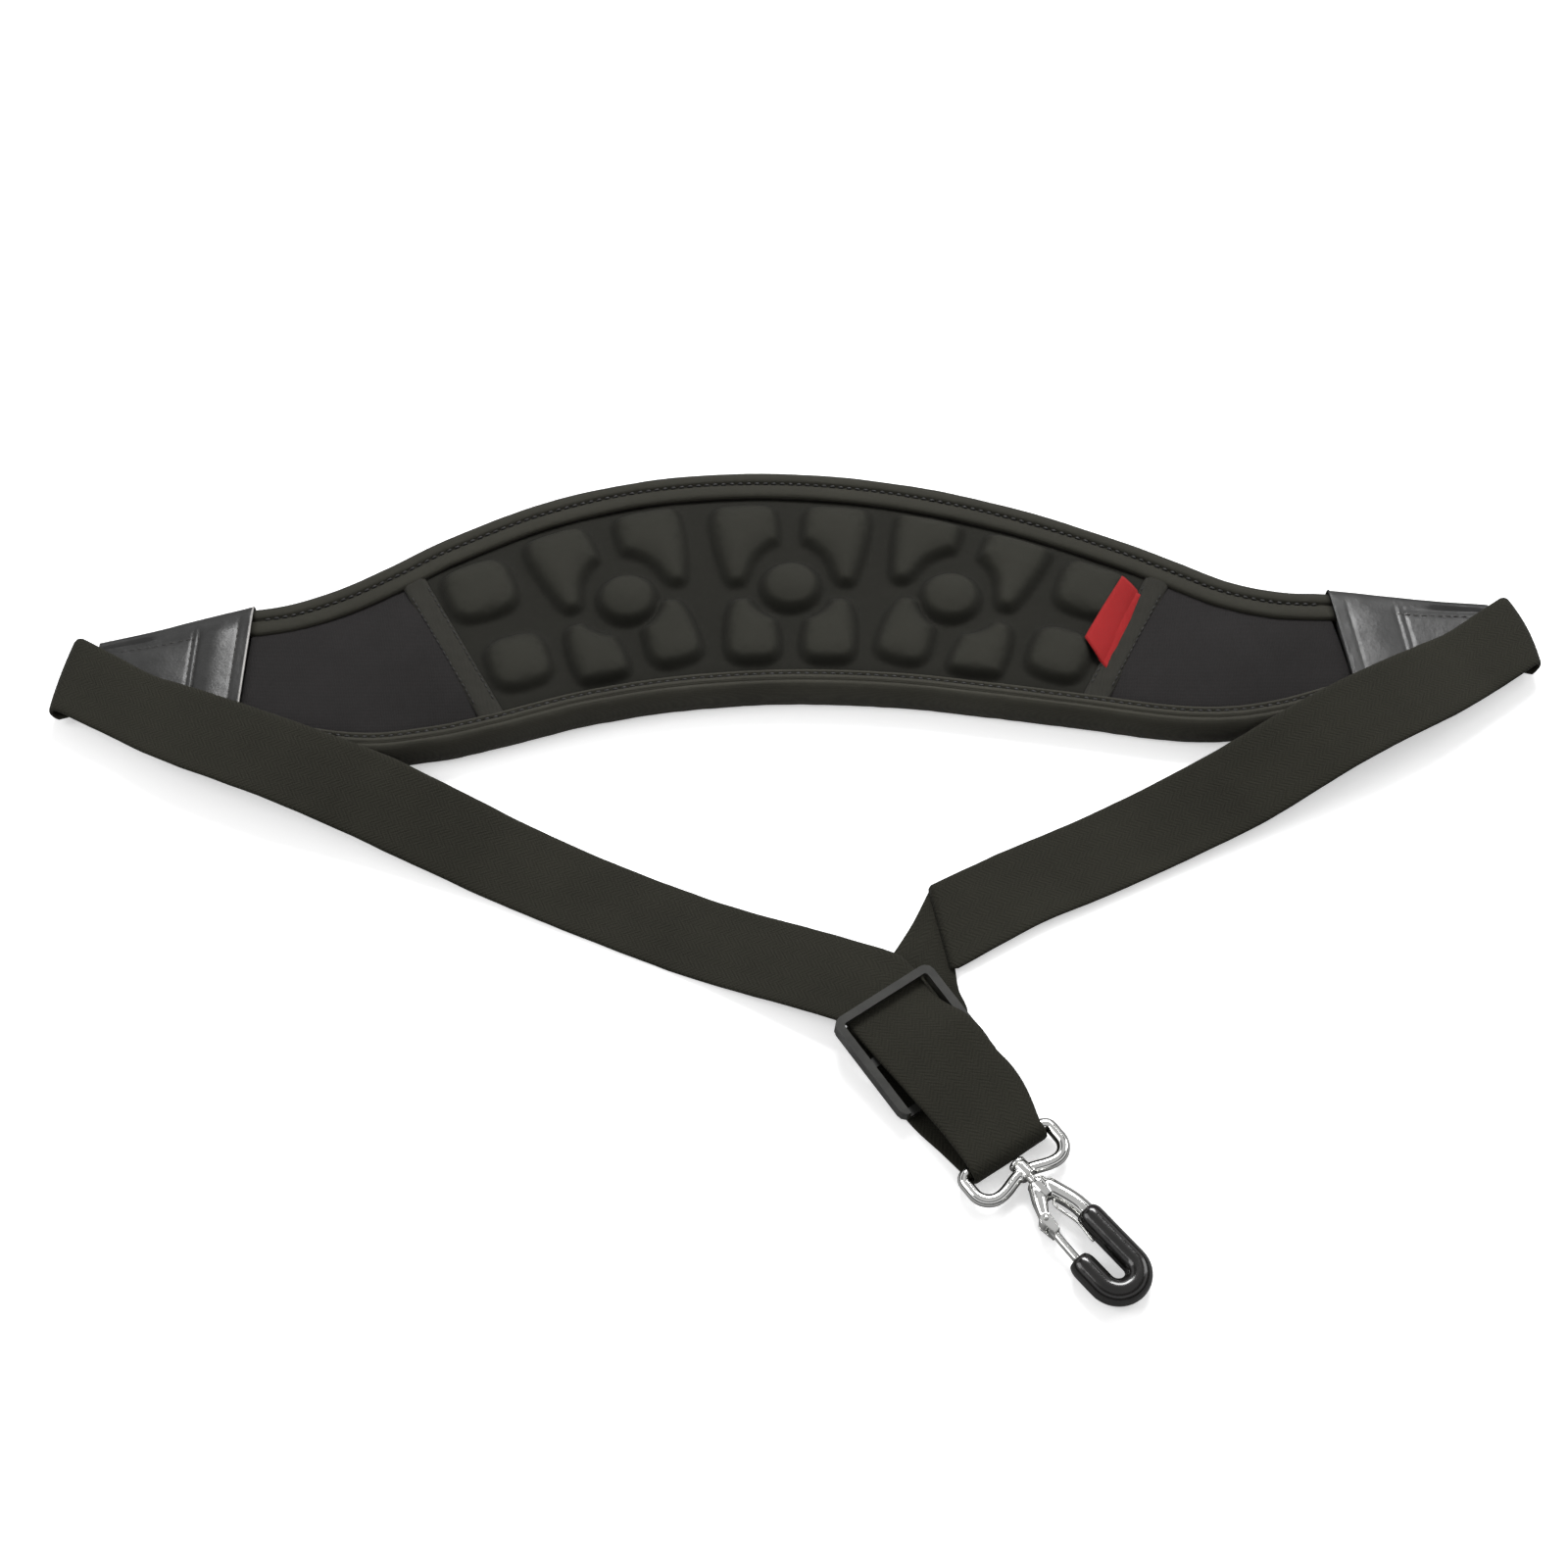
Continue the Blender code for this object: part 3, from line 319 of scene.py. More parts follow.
def leather_material(name, color, rough):
    g = new_material(name)
    coords = g.coords()
    grain = g.node("TexVoronoi", {"Scale": 900, "Vector": coords})["Distance"]
    slow = g.noise(coords, scale=45, detail=6)
    fine = g.noise(coords, scale=700, detail=4)
    g.surface({"Base Color": g.tones(slow, color, dark=0.7, light=1.5, low=0.35),
               "Roughness": g.affine(slow, 0.22, rough - 0.1),
               "Coat Weight": 0.12,
               "Coat Roughness": 0.35})
    g.bumps((grain, 0.16, 0.00022), (fine, 0.14, 0.0002), (slow, 0.35, 0.0016))
    return g.owner


def metal_material(name, color, rough):
    g = new_material(name)
    coords = g.coords()
    slow = g.noise(coords, scale=90, detail=4)
    fine = g.noise(coords, scale=1600, detail=3)
    g.surface({"Base Color": g.tones(slow, color, dark=0.86, light=1.06),
               "Metallic": 1.0,
               "Roughness": g.affine(slow, 0.08, rough - 0.03)})
    g.bumps((slow, 0.12, 0.0006), (fine, 0.05, 0.00003))
    return g.owner


def gloss_material(name, color, rough, coat):
    g = new_material(name)
    coords = g.coords()
    slow = g.noise(coords, scale=120, detail=4)
    fine = g.noise(coords, scale=1500, detail=3)
    g.surface({"Base Color": g.tones(slow, color, dark=0.7, light=1.5),
               "Roughness": g.affine(fine, 0.10, rough - 0.05),
               "Coat Weight": coat,
               "Coat Roughness": 0.08})
    g.bumps((slow, 0.25, 0.0005), (fine, 0.10, 0.00004))
    return g.owner


def thread_material(name, color):
    g = new_material(name)
    fibre = g.noise(g.coords(), scale=3000, detail=3)
    g.surface({"Base Color": g.tones(fibre, color, dark=0.6, light=1.6), "Roughness": 0.6})
    g.bumps((fibre, 0.4, 0.0001))
    return g.owner


# name, thread pitch in mm, tone variation, roughness, weave bump, sheen, specular,
# colour, colour of the thread crossings, and optionally painted height shading (low z, high z,
# hollow shade tone, top light tone)
CLOTHS = [
    ("cell_cloth", 0.5, 0.30, 0.70, 0.30, 0.02, 0.18,
     # cell cloth: painted shade in the hollows between cells and painted light on their tops, by
     # height
     (0.0078, 0.0077, 0.0062), (0.020, 0.020, 0.0165), (9.8, 13.6, 0.55, 1.75)),
    ("wing_cloth", 1.1, 0.45, 0.85, 0.60, 0.03, 0.10,
     (0.0128, 0.0120, 0.0125), (0.049, 0.046, 0.048)),
    ("binding_cloth", 0.8, 0.40, 0.68, 0.40, 0.02, 0.24,
     (0.0130, 0.0126, 0.0098), (0.044, 0.041, 0.031)),
    ("tape_cloth", 0.9, 0.35, 0.75, 0.80, 0.03, 0.18,
     (0.0165, 0.0160, 0.0138), (0.066, 0.063, 0.054)),
    # brighter, shinier copy of the binding cloth for the front band: painted light
    ("binding_cloth_front", 0.8, 0.40, 0.68, 0.40, 0.02, 0.30,
     (0.0185, 0.0178, 0.0140), (0.060, 0.056, 0.043)),
    ("back_cloth", 0.9, 0.30, 0.86, 0.50, 0.04, 0.15,
     (0.0150, 0.0150, 0.0165), (0.050, 0.050, 0.053)),
    ("label_cloth", 0.6, 0.22, 0.70, 0.50, 0.03, 0.20,
     (0.27, 0.006, 0.009), (0.40, 0.030, 0.030)),
    ("foam_inside", 2.0, 0.2, 0.95, 0.5, 0.0, 0.14,
     (0.10, 0.10, 0.10), (0.05, 0.05, 0.046)),
]
cloth = {row[0]: cloth_material(*row) for row in CLOTHS}
web_weave = webbing_material("webbing_weave", color=(0.0100, 0.0097, 0.0072))
leather = leather_material("end_leather", color=(0.013, 0.013, 0.0125), rough=0.40)
# pale leather for the left edge bead: a painted highlight
edge_highlight_leather = leather_material("leather_cut_edge", color=(0.27, 0.26, 0.25), rough=0.55)
chrome = metal_material("chrome_plate", color=(0.84, 0.84, 0.82), rough=0.09)
steel = metal_material("spring_steel", color=(0.60, 0.60, 0.58), rough=0.24)
slider_plastic = gloss_material("slider_plastic", color=(0.019, 0.019, 0.0165), rough=0.30,
                                coat=0.35)
dip_plastic = gloss_material("dipped_plastic", color=(0.006, 0.0055, 0.005), rough=0.20,
                             coat=0.25)
black_thread = thread_material("black_thread", color=(0.0045, 0.0043, 0.0036))
grey_thread = thread_material("grey_thread", color=(0.016, 0.015, 0.013))
film = gloss_material("film_inside", color=(0.24, 0.25, 0.26), rough=0.4, coat=0.2)


# ---------------------------------------------------------------- mesh builders
def attach(ob, body, *replaced):
    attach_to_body(ob, body)
    if replaced:
        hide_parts(*replaced)


def shade_smooth(mesh):
    mesh.polygons.foreach_set("use_smooth", [True] * len(mesh.polygons))


def set_material(ob, material):
    ob.data.materials.clear()
    ob.data.materials.append(material)


def new_object(name, verts, faces, material, uvs=None):
    """Smooth mesh object from millimetre points; uvs holds one pair per vertex."""
    mesh = bpy.data.meshes.new(name)
    mesh.from_pydata((np.asarray(verts, float) * MM).tolist(), [], faces)
    mesh.update()
    if uvs is not None:
        layer = mesh.uv_layers.new(name="UVMap")
        data = np.asarray([uvs[v] for face in mesh.polygons for v in face.vertices], float)
        layer.data.foreach_set("uv", data.reshape(-1))
    ob = bpy.data.objects.new(name, mesh)
    COLLECTION.objects.link(ob)
    mesh.materials.append(material)
    bm = bmesh.new()
    bm.from_mesh(mesh)
    bmesh.ops.recalc_face_normals(bm, faces=bm.faces)
    bm.to_mesh(mesh)
    bm.free()
    shade_smooth(mesh)
    return ob


def grid_solid(name, nu, nv, plan, top, bottom, material):
    """Closed slab over a (u, v) grid; top and bottom are heights or functions of x, y, u, v."""
    u, v = np.meshgrid(np.linspace(0, 1, nu), np.linspace(0, 1, nv), indexing="ij")
    x, y = plan(u, v)
    layers = []
    for height in (top, bottom):
        z = height(x, y, u, v) if callable(height) else np.full_like(x, height)
        layers.append(np.stack([x, y, z], -1).reshape(-1, 3))
    n = nu * nv
    faces = []
    for i in range(nu - 1):
        for j in range(nv - 1):
            a = i * nv + j
            faces.append((a, a + nv, a + nv + 1, a + 1))
            faces.append((n + a, n + a + 1, n + a + nv + 1, n + a + nv))
    rim = ([i * nv for i in range(nu)] + [(nu - 1) * nv + j for j in range(1, nv)]
           + [i * nv + nv - 1 for i in range(nu - 2, -1, -1)] + list(range(nv - 2, 0, -1)))
    for p, q in zip(rim, rim[1:] + rim[:1]):
        faces.append((p, q, n + q, n + p))
    return new_object(name, np.concatenate(layers), faces, material)


def ring_faces(count, size, start=0, closed=False, ends=True):
    """Faces joining consecutive rings of points, with end faces unless closed."""
    faces = []
    for i in range(count if closed else count - 1):
        a, b = start + i * size, start + (i + 1) % count * size
        for k in range(size):
            j = (k + 1) % size
            faces.append((a + k, a + j, b + j, b + k))
    if ends and not closed:
        faces.append(tuple(start + k for k in range(size - 1, -1, -1)))
        faces.append(tuple(start + (count - 1) * size + k for k in range(size)))
    return faces


def loft(name, rings, material, closed=False):
    verts = [p for ring in rings for p in ring]
    return new_object(name, verts, ring_faces(len(rings), len(rings[0]), closed=closed), material)


def unit(vector):
    return vector / max(1e-9, np.linalg.norm(vector))


def tube(name, points, radius, material, sides, cyclic=False, round_ends=False):
    """Round wire along points; radius is one number or one per point."""
    path = np.asarray(points, float)
    radii = np.zeros(len(path)) + radius
    if round_ends:
        first, last = unit(path[0] - path[1]), unit(path[-1] - path[-2])
        angles = [math.radians(a) for a in (80, 62, 42, 22)]
        path = np.concatenate([
            [path[0] + first * radii[0] * math.sin(a) * 0.8 for a in angles], path,
            [path[-1] + last * radii[-1] * math.sin(a) * 0.8 for a in reversed(angles)]])
        radii = np.concatenate([[radii[0] * math.cos(a) for a in angles], radii,
                                [radii[-1] * math.cos(a) for a in reversed(angles)]])
    n = len(path)
    rings = []
    up = None
    for i in range(n):
        before = path[(i - 1) % n] if (cyclic or i > 0) else path[i]
        after = path[(i + 1) % n] if (cyclic or i < n - 1) else path[i]
        along = unit(after - before)
        if up is None:
            up = np.array([0, 0, 1.0]) if abs(along[2]) < 0.9 else np.array([1.0, 0, 0])
        side = unit(np.cross(along, up))
        up = np.cross(side, along)
        rings.append([path[i] + radii[i] * (math.cos(t) * side + math.sin(t) * up)
                      for t in np.linspace(0, 2 * np.pi, sides, endpoint=False)])
    return loft(name, rings, material, closed=cyclic)


def extended(points):
    """Points with one more mirrored on at each end."""
    return np.concatenate([[2 * points[0] - points[1]], points, [2 * points[-1] - points[-2]]])


def smooth_path(points, step):
    """Catmull-Rom resampling of a polyline at an even step."""
    points = np.asarray(points, float)
    ext = extended(points)
    out = []
    for i in range(len(points) - 1):
        p0, p1, p2, p3 = ext[i:i + 4]
        count = max(1, int(round(np.linalg.norm(p2 - p1) / step)))
        for t in np.arange(count) / count:
            out.append(0.5 * ((2 * p1) + (-p0 + p2) * t + (2 * p0 - 5 * p1 + 4 * p2 - p3) * t * t
                              + (-p0 + 3 * p1 - 3 * p2 + p3) * t**3))
    out.append(points[-1])
    return np.array(out)


# one stitch: (place along it, radius factor, rise factor)
STITCH_PROFILE = [(-0.5, 0.25, -0.35), (-0.42, 0.8, -0.05), (-0.2, 1.0, 0.12),
                  (0.2, 1.0, 0.12), (0.42, 0.8, -0.05), (0.5, 0.25, -0.35)]


def stitches(name, path, material, pitch, length, radius):
    """Row of sewn stitches on the pad, each a short thread dipping at both ends."""
    path = np.asarray(path, float)
    lengths = np.linalg.norm(np.diff(path, axis=0), axis=1)
    run = np.concatenate([[0], np.cumsum(lengths)])

    def at(distance):
        return np.array([np.interp(distance, run, path[:, axis]) for axis in range(3)])
    verts, faces = [], []
    position = pitch * 0.5
    while position < run[-1] - pitch * 0.4:
        centre = at(position)
        along = unit(at(position + 0.4) - at(position - 0.4))
        side = unit(np.cross(along, np.array([0, 0, 1.0])))
        up = np.cross(side, along)
        yaw = RNG.uniform(-0.10, 0.10)
        thread = along * math.cos(yaw) + side * math.sin(yaw)
        faces += ring_faces(len(STITCH_PROFILE), 6, start=len(verts))
        for t, swell, rise_by in STITCH_PROFILE:
            for k in range(6):
                angle = 2 * math.pi * k / 6
                verts.append(centre + thread * t * length
                             + side * math.cos(angle) * radius * swell
                             + up * (math.sin(angle) * radius * swell * 0.8
                                     + rise_by * radius * 2))
        position += pitch
    attach(new_object(name, verts, faces, material), "pad")


# ---------------------------------------------------------------- moulded cells of the pad
def turned_about(points, cx, cy, degrees):
    c, s = math.cos(math.radians(degrees)), math.sin(math.radians(degrees))
    return [(cx + c * x - s * y, cy + s * x + c * y) for x, y in points]


def arc(radius, start, end, count, shrink=0.0):
    """Points on an arc in degrees whose radius shrinks evenly."""
    out = []
    for k in range(count + 1):
        angle = math.radians(start + (end - start) * k / count)
        r = radius - shrink * k / count
        out.append((r * math.cos(angle), r * math.sin(angle)))
    return out


# outlines of the left-hand cells about a dome: (x, y) from the dome centre
BACK_CELL = arc(20.6, 101, 156, 8, shrink=4.8) + [
    (-16.5, 1.2), (-21.5, 0.8), (-23.4, 5.0), (-27.0, 19.0), (-28.6, 30.0), (-26.2, 36.0),
    (-9.4, 37.0), (-4.8, 33.6)]
FRONT_CELL = arc(15.4, 200, 252, 8) + [
    (-3.2, -27.5), (-6.6, -32.4), (-18.2, -32.8), (-22.6, -29.0), (-22.6, -14.0), (-20.4, -5.8)]
DOME_TURNS = (18.5, 0.0, -18.5)
# octagonal cells by the tapes: (x, y, half width, half height, turn)
END_CELLS = [(-108.6, -1.6, 12.2, 12.2, 21.0), (-93.6, -32.3, 10.6, 11.0, 19.0),
             (105.0, -1.0, 11.8, 11.8, -20.0), (92.4, -29.2, 10.2, 10.8, -19.0)]
OCTAGON = [(-1, -0.6), (-0.6, -1), (0.6, -1), (1, -0.6), (1, 0.6), (0.6, 1), (-0.6, 1), (-1, 0.6)]


def softened(outline):
    """Outline with its corners cut twice, so it looks rounded."""
    for _ in range(2):
        n = len(outline)
        outline = [tuple(outline[i][axis] * a + outline[(i + 1) % n][axis] * (1 - a)
                         for axis in (0, 1))
                   for i in range(n) for a in (0.78, 0.22)]
    return outline


def cell_outlines():
    cells = []
    for (cx, cy), turn in zip(DOMES, DOME_TURNS):
        for mirror in (1, -1):
            for outline, x, y in ((BACK_CELL, cx, cy),
                                  (FRONT_CELL, cx - 0.19 * turn, cy - 0.04 * abs(turn))):
                cells.append(turned_about([(mirror * a, b) for a, b in outline], x, y, turn))
    for x, y, half_w, half_h, turn in END_CELLS:
        cells.append(turned_about([(a * half_w, b * half_h) for a, b in OCTAGON], x, y, turn))
    return [softened(outline) for outline in cells]


CELLS = cell_outlines()


def inside_depth(x, y, outline):
    """Distance to the outline, positive inside."""
    distance = np.full(x.shape, 1e9)
    inside = np.zeros(x.shape, bool)
    for (x0, y0), (x1, y1) in zip(outline, outline[1:] + outline[:1]):
        ex, ey = x1 - x0, y1 - y0
        t = np.clip(((x - x0) * ex + (y - y0) * ey) / (ex * ex + ey * ey), 0, 1)
        distance = np.minimum(distance, np.hypot(x - x0 - t * ex, y - y0 - t * ey))
        crosses = (y0 > y) != (y1 > y)
        with np.errstate(divide="ignore", invalid="ignore"):
            cross_x = x0 + (y - y0) * ex / np.where(ey == 0, 1e-12, ey)
        inside ^= crosses & (x < cross_x)
    return np.where(inside, distance, -distance)


def smoothstep(t):
    t = np.clip(t, 0, 1)
    return t * t * (3 - 2 * t)


def shoulder(depth, width):
    """Moulded S curve starting 1.8 outside the outline."""
    return smoothstep((depth + 1.8) / width)


SAMPLE_X = np.linspace(-260, 260, 521)
SAMPLED_BACK = spline_at(BACK_EDGE, SAMPLE_X)
SAMPLED_FRONT = spline_at(FRONT_EDGE, SAMPLE_X)


def sampled_edge(samples, x):
    """y of a pad edge, and its length per unit of x."""
    slope = np.interp(x, SAMPLE_X, np.gradient(samples, SAMPLE_X))
    return np.interp(x, SAMPLE_X, samples), np.hypot(1, slope)


def cells_height(x, y):
    """Height of the moulded cells and domes; the cells die out before the two bindings."""
    h = np.zeros(x.shape)
    for i, outline in enumerate(CELLS):
        depth = inside_depth(x, y, outline)
        top = 3.9 + 0.25 * np.sin(i * 2.7)
        crown = 0.80 + 0.20 * np.sin(np.clip(depth / 9.0, 0, 1) * np.pi / 2)
        h = np.maximum(h, top * shoulder(depth, 4.1) * crown)
    back, back_slant = sampled_edge(SAMPLED_BACK, x)
    front, front_slant = sampled_edge(SAMPLED_FRONT, x)
    from_back = (back - y) / back_slant - 14.2
    from_front = (y - front) / front_slant - 9.6
    t = np.clip(np.minimum(from_back, from_front) / 3.6, 0, 1)
    h = h * t * t * (3 - 2 * t)
    for cx, cy in DOMES:
        r = np.hypot(x - cx, y - cy)
        crown = 0.64 + 0.36 * np.cos(np.clip(r / DOME_RADIUS, 0, 1) * np.pi / 2)
        h = np.maximum(h, 5.4 * shoulder(DOME_RADIUS - r, 3.6) * crown)
    return h


# ---------------------------------------------------------------- pad covers
def pad_plan(left, right, inset):
    """Plan between two x(v) limits, inset from both long edges; v runs front to back."""
    def plan(u, v):
        x = left(v) + (right(v) - left(v)) * u

        def slant(edge):
            return np.hypot(1, spline_at(edge, x + 0.5) - spline_at(edge, x - 0.5))
        back = spline_at(BACK_EDGE, x) - (inset + BACK_BAND) * slant(BACK_EDGE)
        front = spline_at(FRONT_EDGE, x) + inset * slant(FRONT_EDGE)
        return x, front + (back - front) * v
    return plan


def tape_limit(line, offset, inset=5.0):
    """x(v) along a seam tape, solved by repeated averaging."""
    (x0, y0), (x1, y1) = line
    vs = np.linspace(0, 1, 61)
    x = np.full(61, (x0 + x1) / 2)
    for _ in range(60):
        back, back_slant = sampled_edge(SAMPLED_BACK, x)
        front, front_slant = sampled_edge(SAMPLED_FRONT, x)
        back = back - (inset + BACK_BAND) * back_slant
        front = front + inset * front_slant
        y = front + (back - front) * vs
        x = 0.5 * x + 0.5 * (x0 + (x1 - x0) * (y - y0) / (y1 - y0) + offset)
    return lambda v: np.interp(v, vs, x)


def leather_limit(side, offset):
    """x(v) along the wide end of a leather piece."""
    front = wide_end_x(side, -60 if side < 0 else -50)
    back = wide_end_x(side, LEATHER[side][0][1])
    return lambda v: front * (1 - v) + back * v + offset


def puff(ob, held, pressure, limit):
    """Cloth simulation of a closed cover; held(x, y, z) is 1 where fixed and 0 where free."""
    mesh = ob.data
    n = len(mesh.vertices)
    start = np.zeros(n * 3)
    mesh.vertices.foreach_get("co", start)
    start = start.reshape(-1, 3)
    weights = np.clip(held(*(start[:, axis] / MM for axis in range(3))), 0, 1)
    group = ob.vertex_groups.new(name="held")
    for i in range(n):
        if weights[i] > 0.001:
            group.add([i], float(weights[i]), "REPLACE")
    sim = ob.modifiers.new("cloth", "CLOTH")
    settings = sim.settings
    settings.quality = 5
    settings.mass = 0.3
    settings.tension_stiffness = 12.0
    settings.compression_stiffness = 12.0
    settings.shear_stiffness = 5
    settings.bending_stiffness = 0.4
    settings.vertex_group_mass = "held"
    settings.pin_stiffness = 1.0
    settings.use_pressure = True
    settings.uniform_pressure_force = pressure
    settings.effector_weights.gravity = 0.0
    sim.collision_settings.use_collision = False
    frames = 20
    scene = bpy.context.scene
    scene.frame_start, scene.frame_end = 1, frames
    sim.point_cache.frame_start, sim.point_cache.frame_end = 1, frames
    for number in range(1, frames + 1):
        scene.frame_set(number)
    evaluated = ob.evaluated_get(bpy.context.evaluated_depsgraph_get())
    end = np.zeros(n * 3)
    evaluated.data.vertices.foreach_get("co", end)
    end = end.reshape(-1, 3)
    ob.modifiers.remove(sim)
    scene.frame_set(1)
    # no point moves further than the limit
    move = end - start
    distance = np.linalg.norm(move, axis=1)
    share = np.minimum(1.0, limit * MM / np.maximum(distance, 1e-9))
    mesh.vertices.foreach_set("co", (start + move * share[:, None]).reshape(-1))
    mesh.update()


def apply_modifiers(ob):
    bpy.context.view_layer.update()
    evaluated = ob.evaluated_get(bpy.context.evaluated_depsgraph_get())
    mesh = bpy.data.meshes.new_from_object(evaluated)
    ob.modifiers.clear()
    ob.data = mesh
    shade_smooth(mesh)


def subdivide(ob):
    modifier = ob.modifiers.new("sub", "SUBSURF")
    modifier.levels = modifier.render_levels = 1
    apply_modifiers(ob)


def scaled_count(count):
    return int(count * DETAIL)


def panel_top(x, y, u, v):
    h = 9.5 + cells_height(x, y)
    h = h + 0.10 * wave_noise(x, y, 26, 3) + 0.05 * wave_noise(x, y, 7, 5)
    return h - 0.9 * np.exp(-(np.minimum(v, 1 - v) / 0.05) ** 2)


def cell_held(x, y, z):
    h = cells_height(x, y)
    return np.where(z < 8.9, 1.0, 1.0 - np.clip((h - 0.5) / 1.2, 0, 1))


def cell_cover():
    """Moulded middle panel, and the film sheet beneath it."""
    plan = pad_plan(tape_limit(TAPE_LEFT, 0.3), tape_limit(TAPE_RIGHT, -0.3), 5.0)
    cover = grid_solid("cell_cover", scaled_count(200), scaled_count(76), plan,
                       panel_top, 8.3, cloth["cell_cloth"])
    puff(cover, cell_held, pressure=150.0, limit=1.0)
    subdivide(cover)
    attach(cover, "pad", "cell_panel")
    plan = pad_plan(tape_limit(TAPE_LEFT, 1.2, 6.5), tape_limit(TAPE_RIGHT, -1.2, 6.5), 6.5)
    sheet = grid_solid("air_cells_inside", scaled_count(100), scaled_count(44), plan,
                       lambda x, y, u, v: panel_top(x, y, u, v) - 2.3, 6.2, film)
    attach(sheet, "pad", "air_cell_sheet")


def wing_held(x, y, z):
    """Fixed along the bindings and low on the sides, free in the middle."""
    back, front = spline_at(BACK_EDGE, x), spline_at(FRONT_EDGE, x)
    depth = np.minimum(back - y - BACK_BAND, y - front) - 7.0
    return np.where(z < 8.6, 1.0, 1.0 - np.clip(depth / 5.0, 0, 1))


def wing_cover(side, left, right, seed):
    """Flat cloth panel between a tape and a leather end."""
    def top(x, y, u, v):
        h = (9.6 + 0.5 * np.sin(np.pi * np.clip(v, 0, 1)) ** 0.6
             + 0.22 * wave_noise(x, y, 45, seed) + 0.07 * wave_noise(x, y, 11, seed + 1))
        return h - 1.1 * np.exp(-(np.minimum(v, 1 - v) / 0.05) ** 2)
    cover = grid_solid("wing_cover_" + side, scaled_count(48), scaled_count(44),
                       pad_plan(left, right, 5.0), top, 7.8, cloth["wing_cloth"])
    puff(cover, wing_held, pressure=10.0, limit=0.8)
    subdivide(cover)
    attach(cover, "pad", "wing_panel_" + side)


def seam_tape(side, line):
    """Tape across the pad with a stitch row near each side."""
    def top(x, y, u, v):
        edge = np.minimum(u, 1 - u)
        return 10.9 - 0.7 * np.exp(-(edge / 0.10) ** 2) + 0.08 * wave_noise(x, y, 9, 31)
    half = TAPE_WIDTH / 2
    plan = pad_plan(tape_limit(line, -half, 6.4), tape_limit(line, half, 6.4), 6.4)
    tape = grid_solid("tape_" + side, 14, scaled_count(60), plan, top, 9.6, cloth["tape_cloth"])
    attach(tape, "pad", "seam_tape_" + side)
    for row, offset in (("a", -half + 1.0), ("b", half - 1.0)):
        limit = tape_limit(line, offset, 8.0)
        xs, ys = pad_plan(limit, limit, 8.0)(np.zeros(30), np.linspace(0.08, 0.92, 30))
        stitches("tape_stitch_%s_%s" % (side, row), np.stack([xs, ys, np.full(30, 10.85)], -1),
                 black_thread, pitch=2.6, length=1.9, radius=0.22)


# binding sections: (distance inside the pad edge, z); each inner part runs on into the outer
FRONT_INNER = [(8.6, 9.4), (8.5, 10.2), (8.1, 10.75), (7.5, 11.05), (7.1, 10.9), (6.75, 10.25),
               (6.4, 10.25), (6.05, 10.85), (5.2, 11.2), (4.5, 11.1), (4.1, 10.5), (3.7, 10.5)]
BACK_INNER = [(12.9, 9.4), (12.8, 10.2), (12.4, 10.8), (11.7, 11.15), (10.6, 11.3),
              (9.2, 11.25), (8.0, 11.1), (7.5, 10.9), (7.1, 10.45), (6.8, 10.2), (6.4, 10.2),
              (6.1, 10.5), (5.9, 10.9), (5.0, 11.2), (3.9, 11.3)]
OUTER = [(3.2, 11.1), (2.5, 10.85), (1.8, 10.4), (1.05, 9.6), (0.5, 8.6), (0.1, 7.3),
         (-0.05, 5.8), (0.0, 3.8), (0.3, 1.8), (0.7, 0.1), (1.6, -0.95), (2.8, TABLE),
         (5.6, TABLE), (6.2, -1.0), (6.2, -0.4), (2.4, -0.2), (2.0, 9.2)]


def binding(place, edge, sign, end_ys, inner, stitch_inset, material, seed):
    """Rolled binding along one long edge, with its stitch row; end_ys are left and right."""
    name = "binding_" + place
    n = scaled_count(240)
    x_left, x_right = wide_end_x(-1, end_ys[0]), wide_end_x(1, end_ys[1])
    rings = []
    for k in range(n + 1):
        x = x_left + (x_right - x_left) * k / n
        wobble = 0.22 * wave_noise(x, 0.0, 38, seed) + 0.10 * wave_noise(x, 0.0, 9, seed + 1)
        ring = []
        for inset, z in inner + OUTER:
            px, py = edge_point(edge, x, inset + (wobble if inset < 2 else 0), sign)
            if k in (0, n):
                px = wide_end_x(-1 if k == 0 else 1, py)
            ring.append((px, py, z + (wobble * 0.5 if z > 9 else 0)))
        rings.append(ring)
    attach(loft(name, rings, material), "pad", "edge_" + name)
    path = [(*edge_point(edge, x_left + 3 + (x_right - x_left - 6) * k / 300,
                         stitch_inset, sign), 10.6) for k in range(301)]
    stitches(name + "_stitch", path, black_thread, pitch=3.0, length=1.9, radius=0.5)


def underside():
    def bottom(x, y, u, v):
        e = np.minimum(np.minimum(u, 1 - u) * 6, np.minimum(v, 1 - v) * 1.6)
        return -0.5 * np.clip(e * 3, 0, 1) ** 0.5 - 0.10 * (wave_noise(x, y, 40, 61) + 1)
    plan = pad_plan(leather_limit(-1, 0.4), leather_limit(1, -0.4), 5.4)
    cover = grid_solid("back_cover", scaled_count(160), scaled_count(60), plan, 1.6, bottom,
                       cloth["back_cloth"])
    attach(cover, "pad", "back_panel")


cell_cover()
wing_cover("left", leather_limit(-1, 0.4), tape_limit(TAPE_LEFT, -0.3), seed=11)
wing_cover("right", tape_limit(TAPE_RIGHT, 0.3), leather_limit(1, -0.4), seed=21)
seam_tape("left", TAPE_LEFT)
seam_tape("right", TAPE_RIGHT)
binding("back", BACK_EDGE, -1, end_ys=(-8.6, -1.4), inner=BACK_INNER, stitch_inset=6.6,
        material=cloth["binding_cloth"], seed=41)
# the front binding takes the brighter copy of the binding cloth as painted light
binding("front", FRONT_EDGE, 1, end_ys=(-61, -49), inner=FRONT_INNER, stitch_inset=6.5,
        material=cloth["binding_cloth_front"], seed=51)
underside()

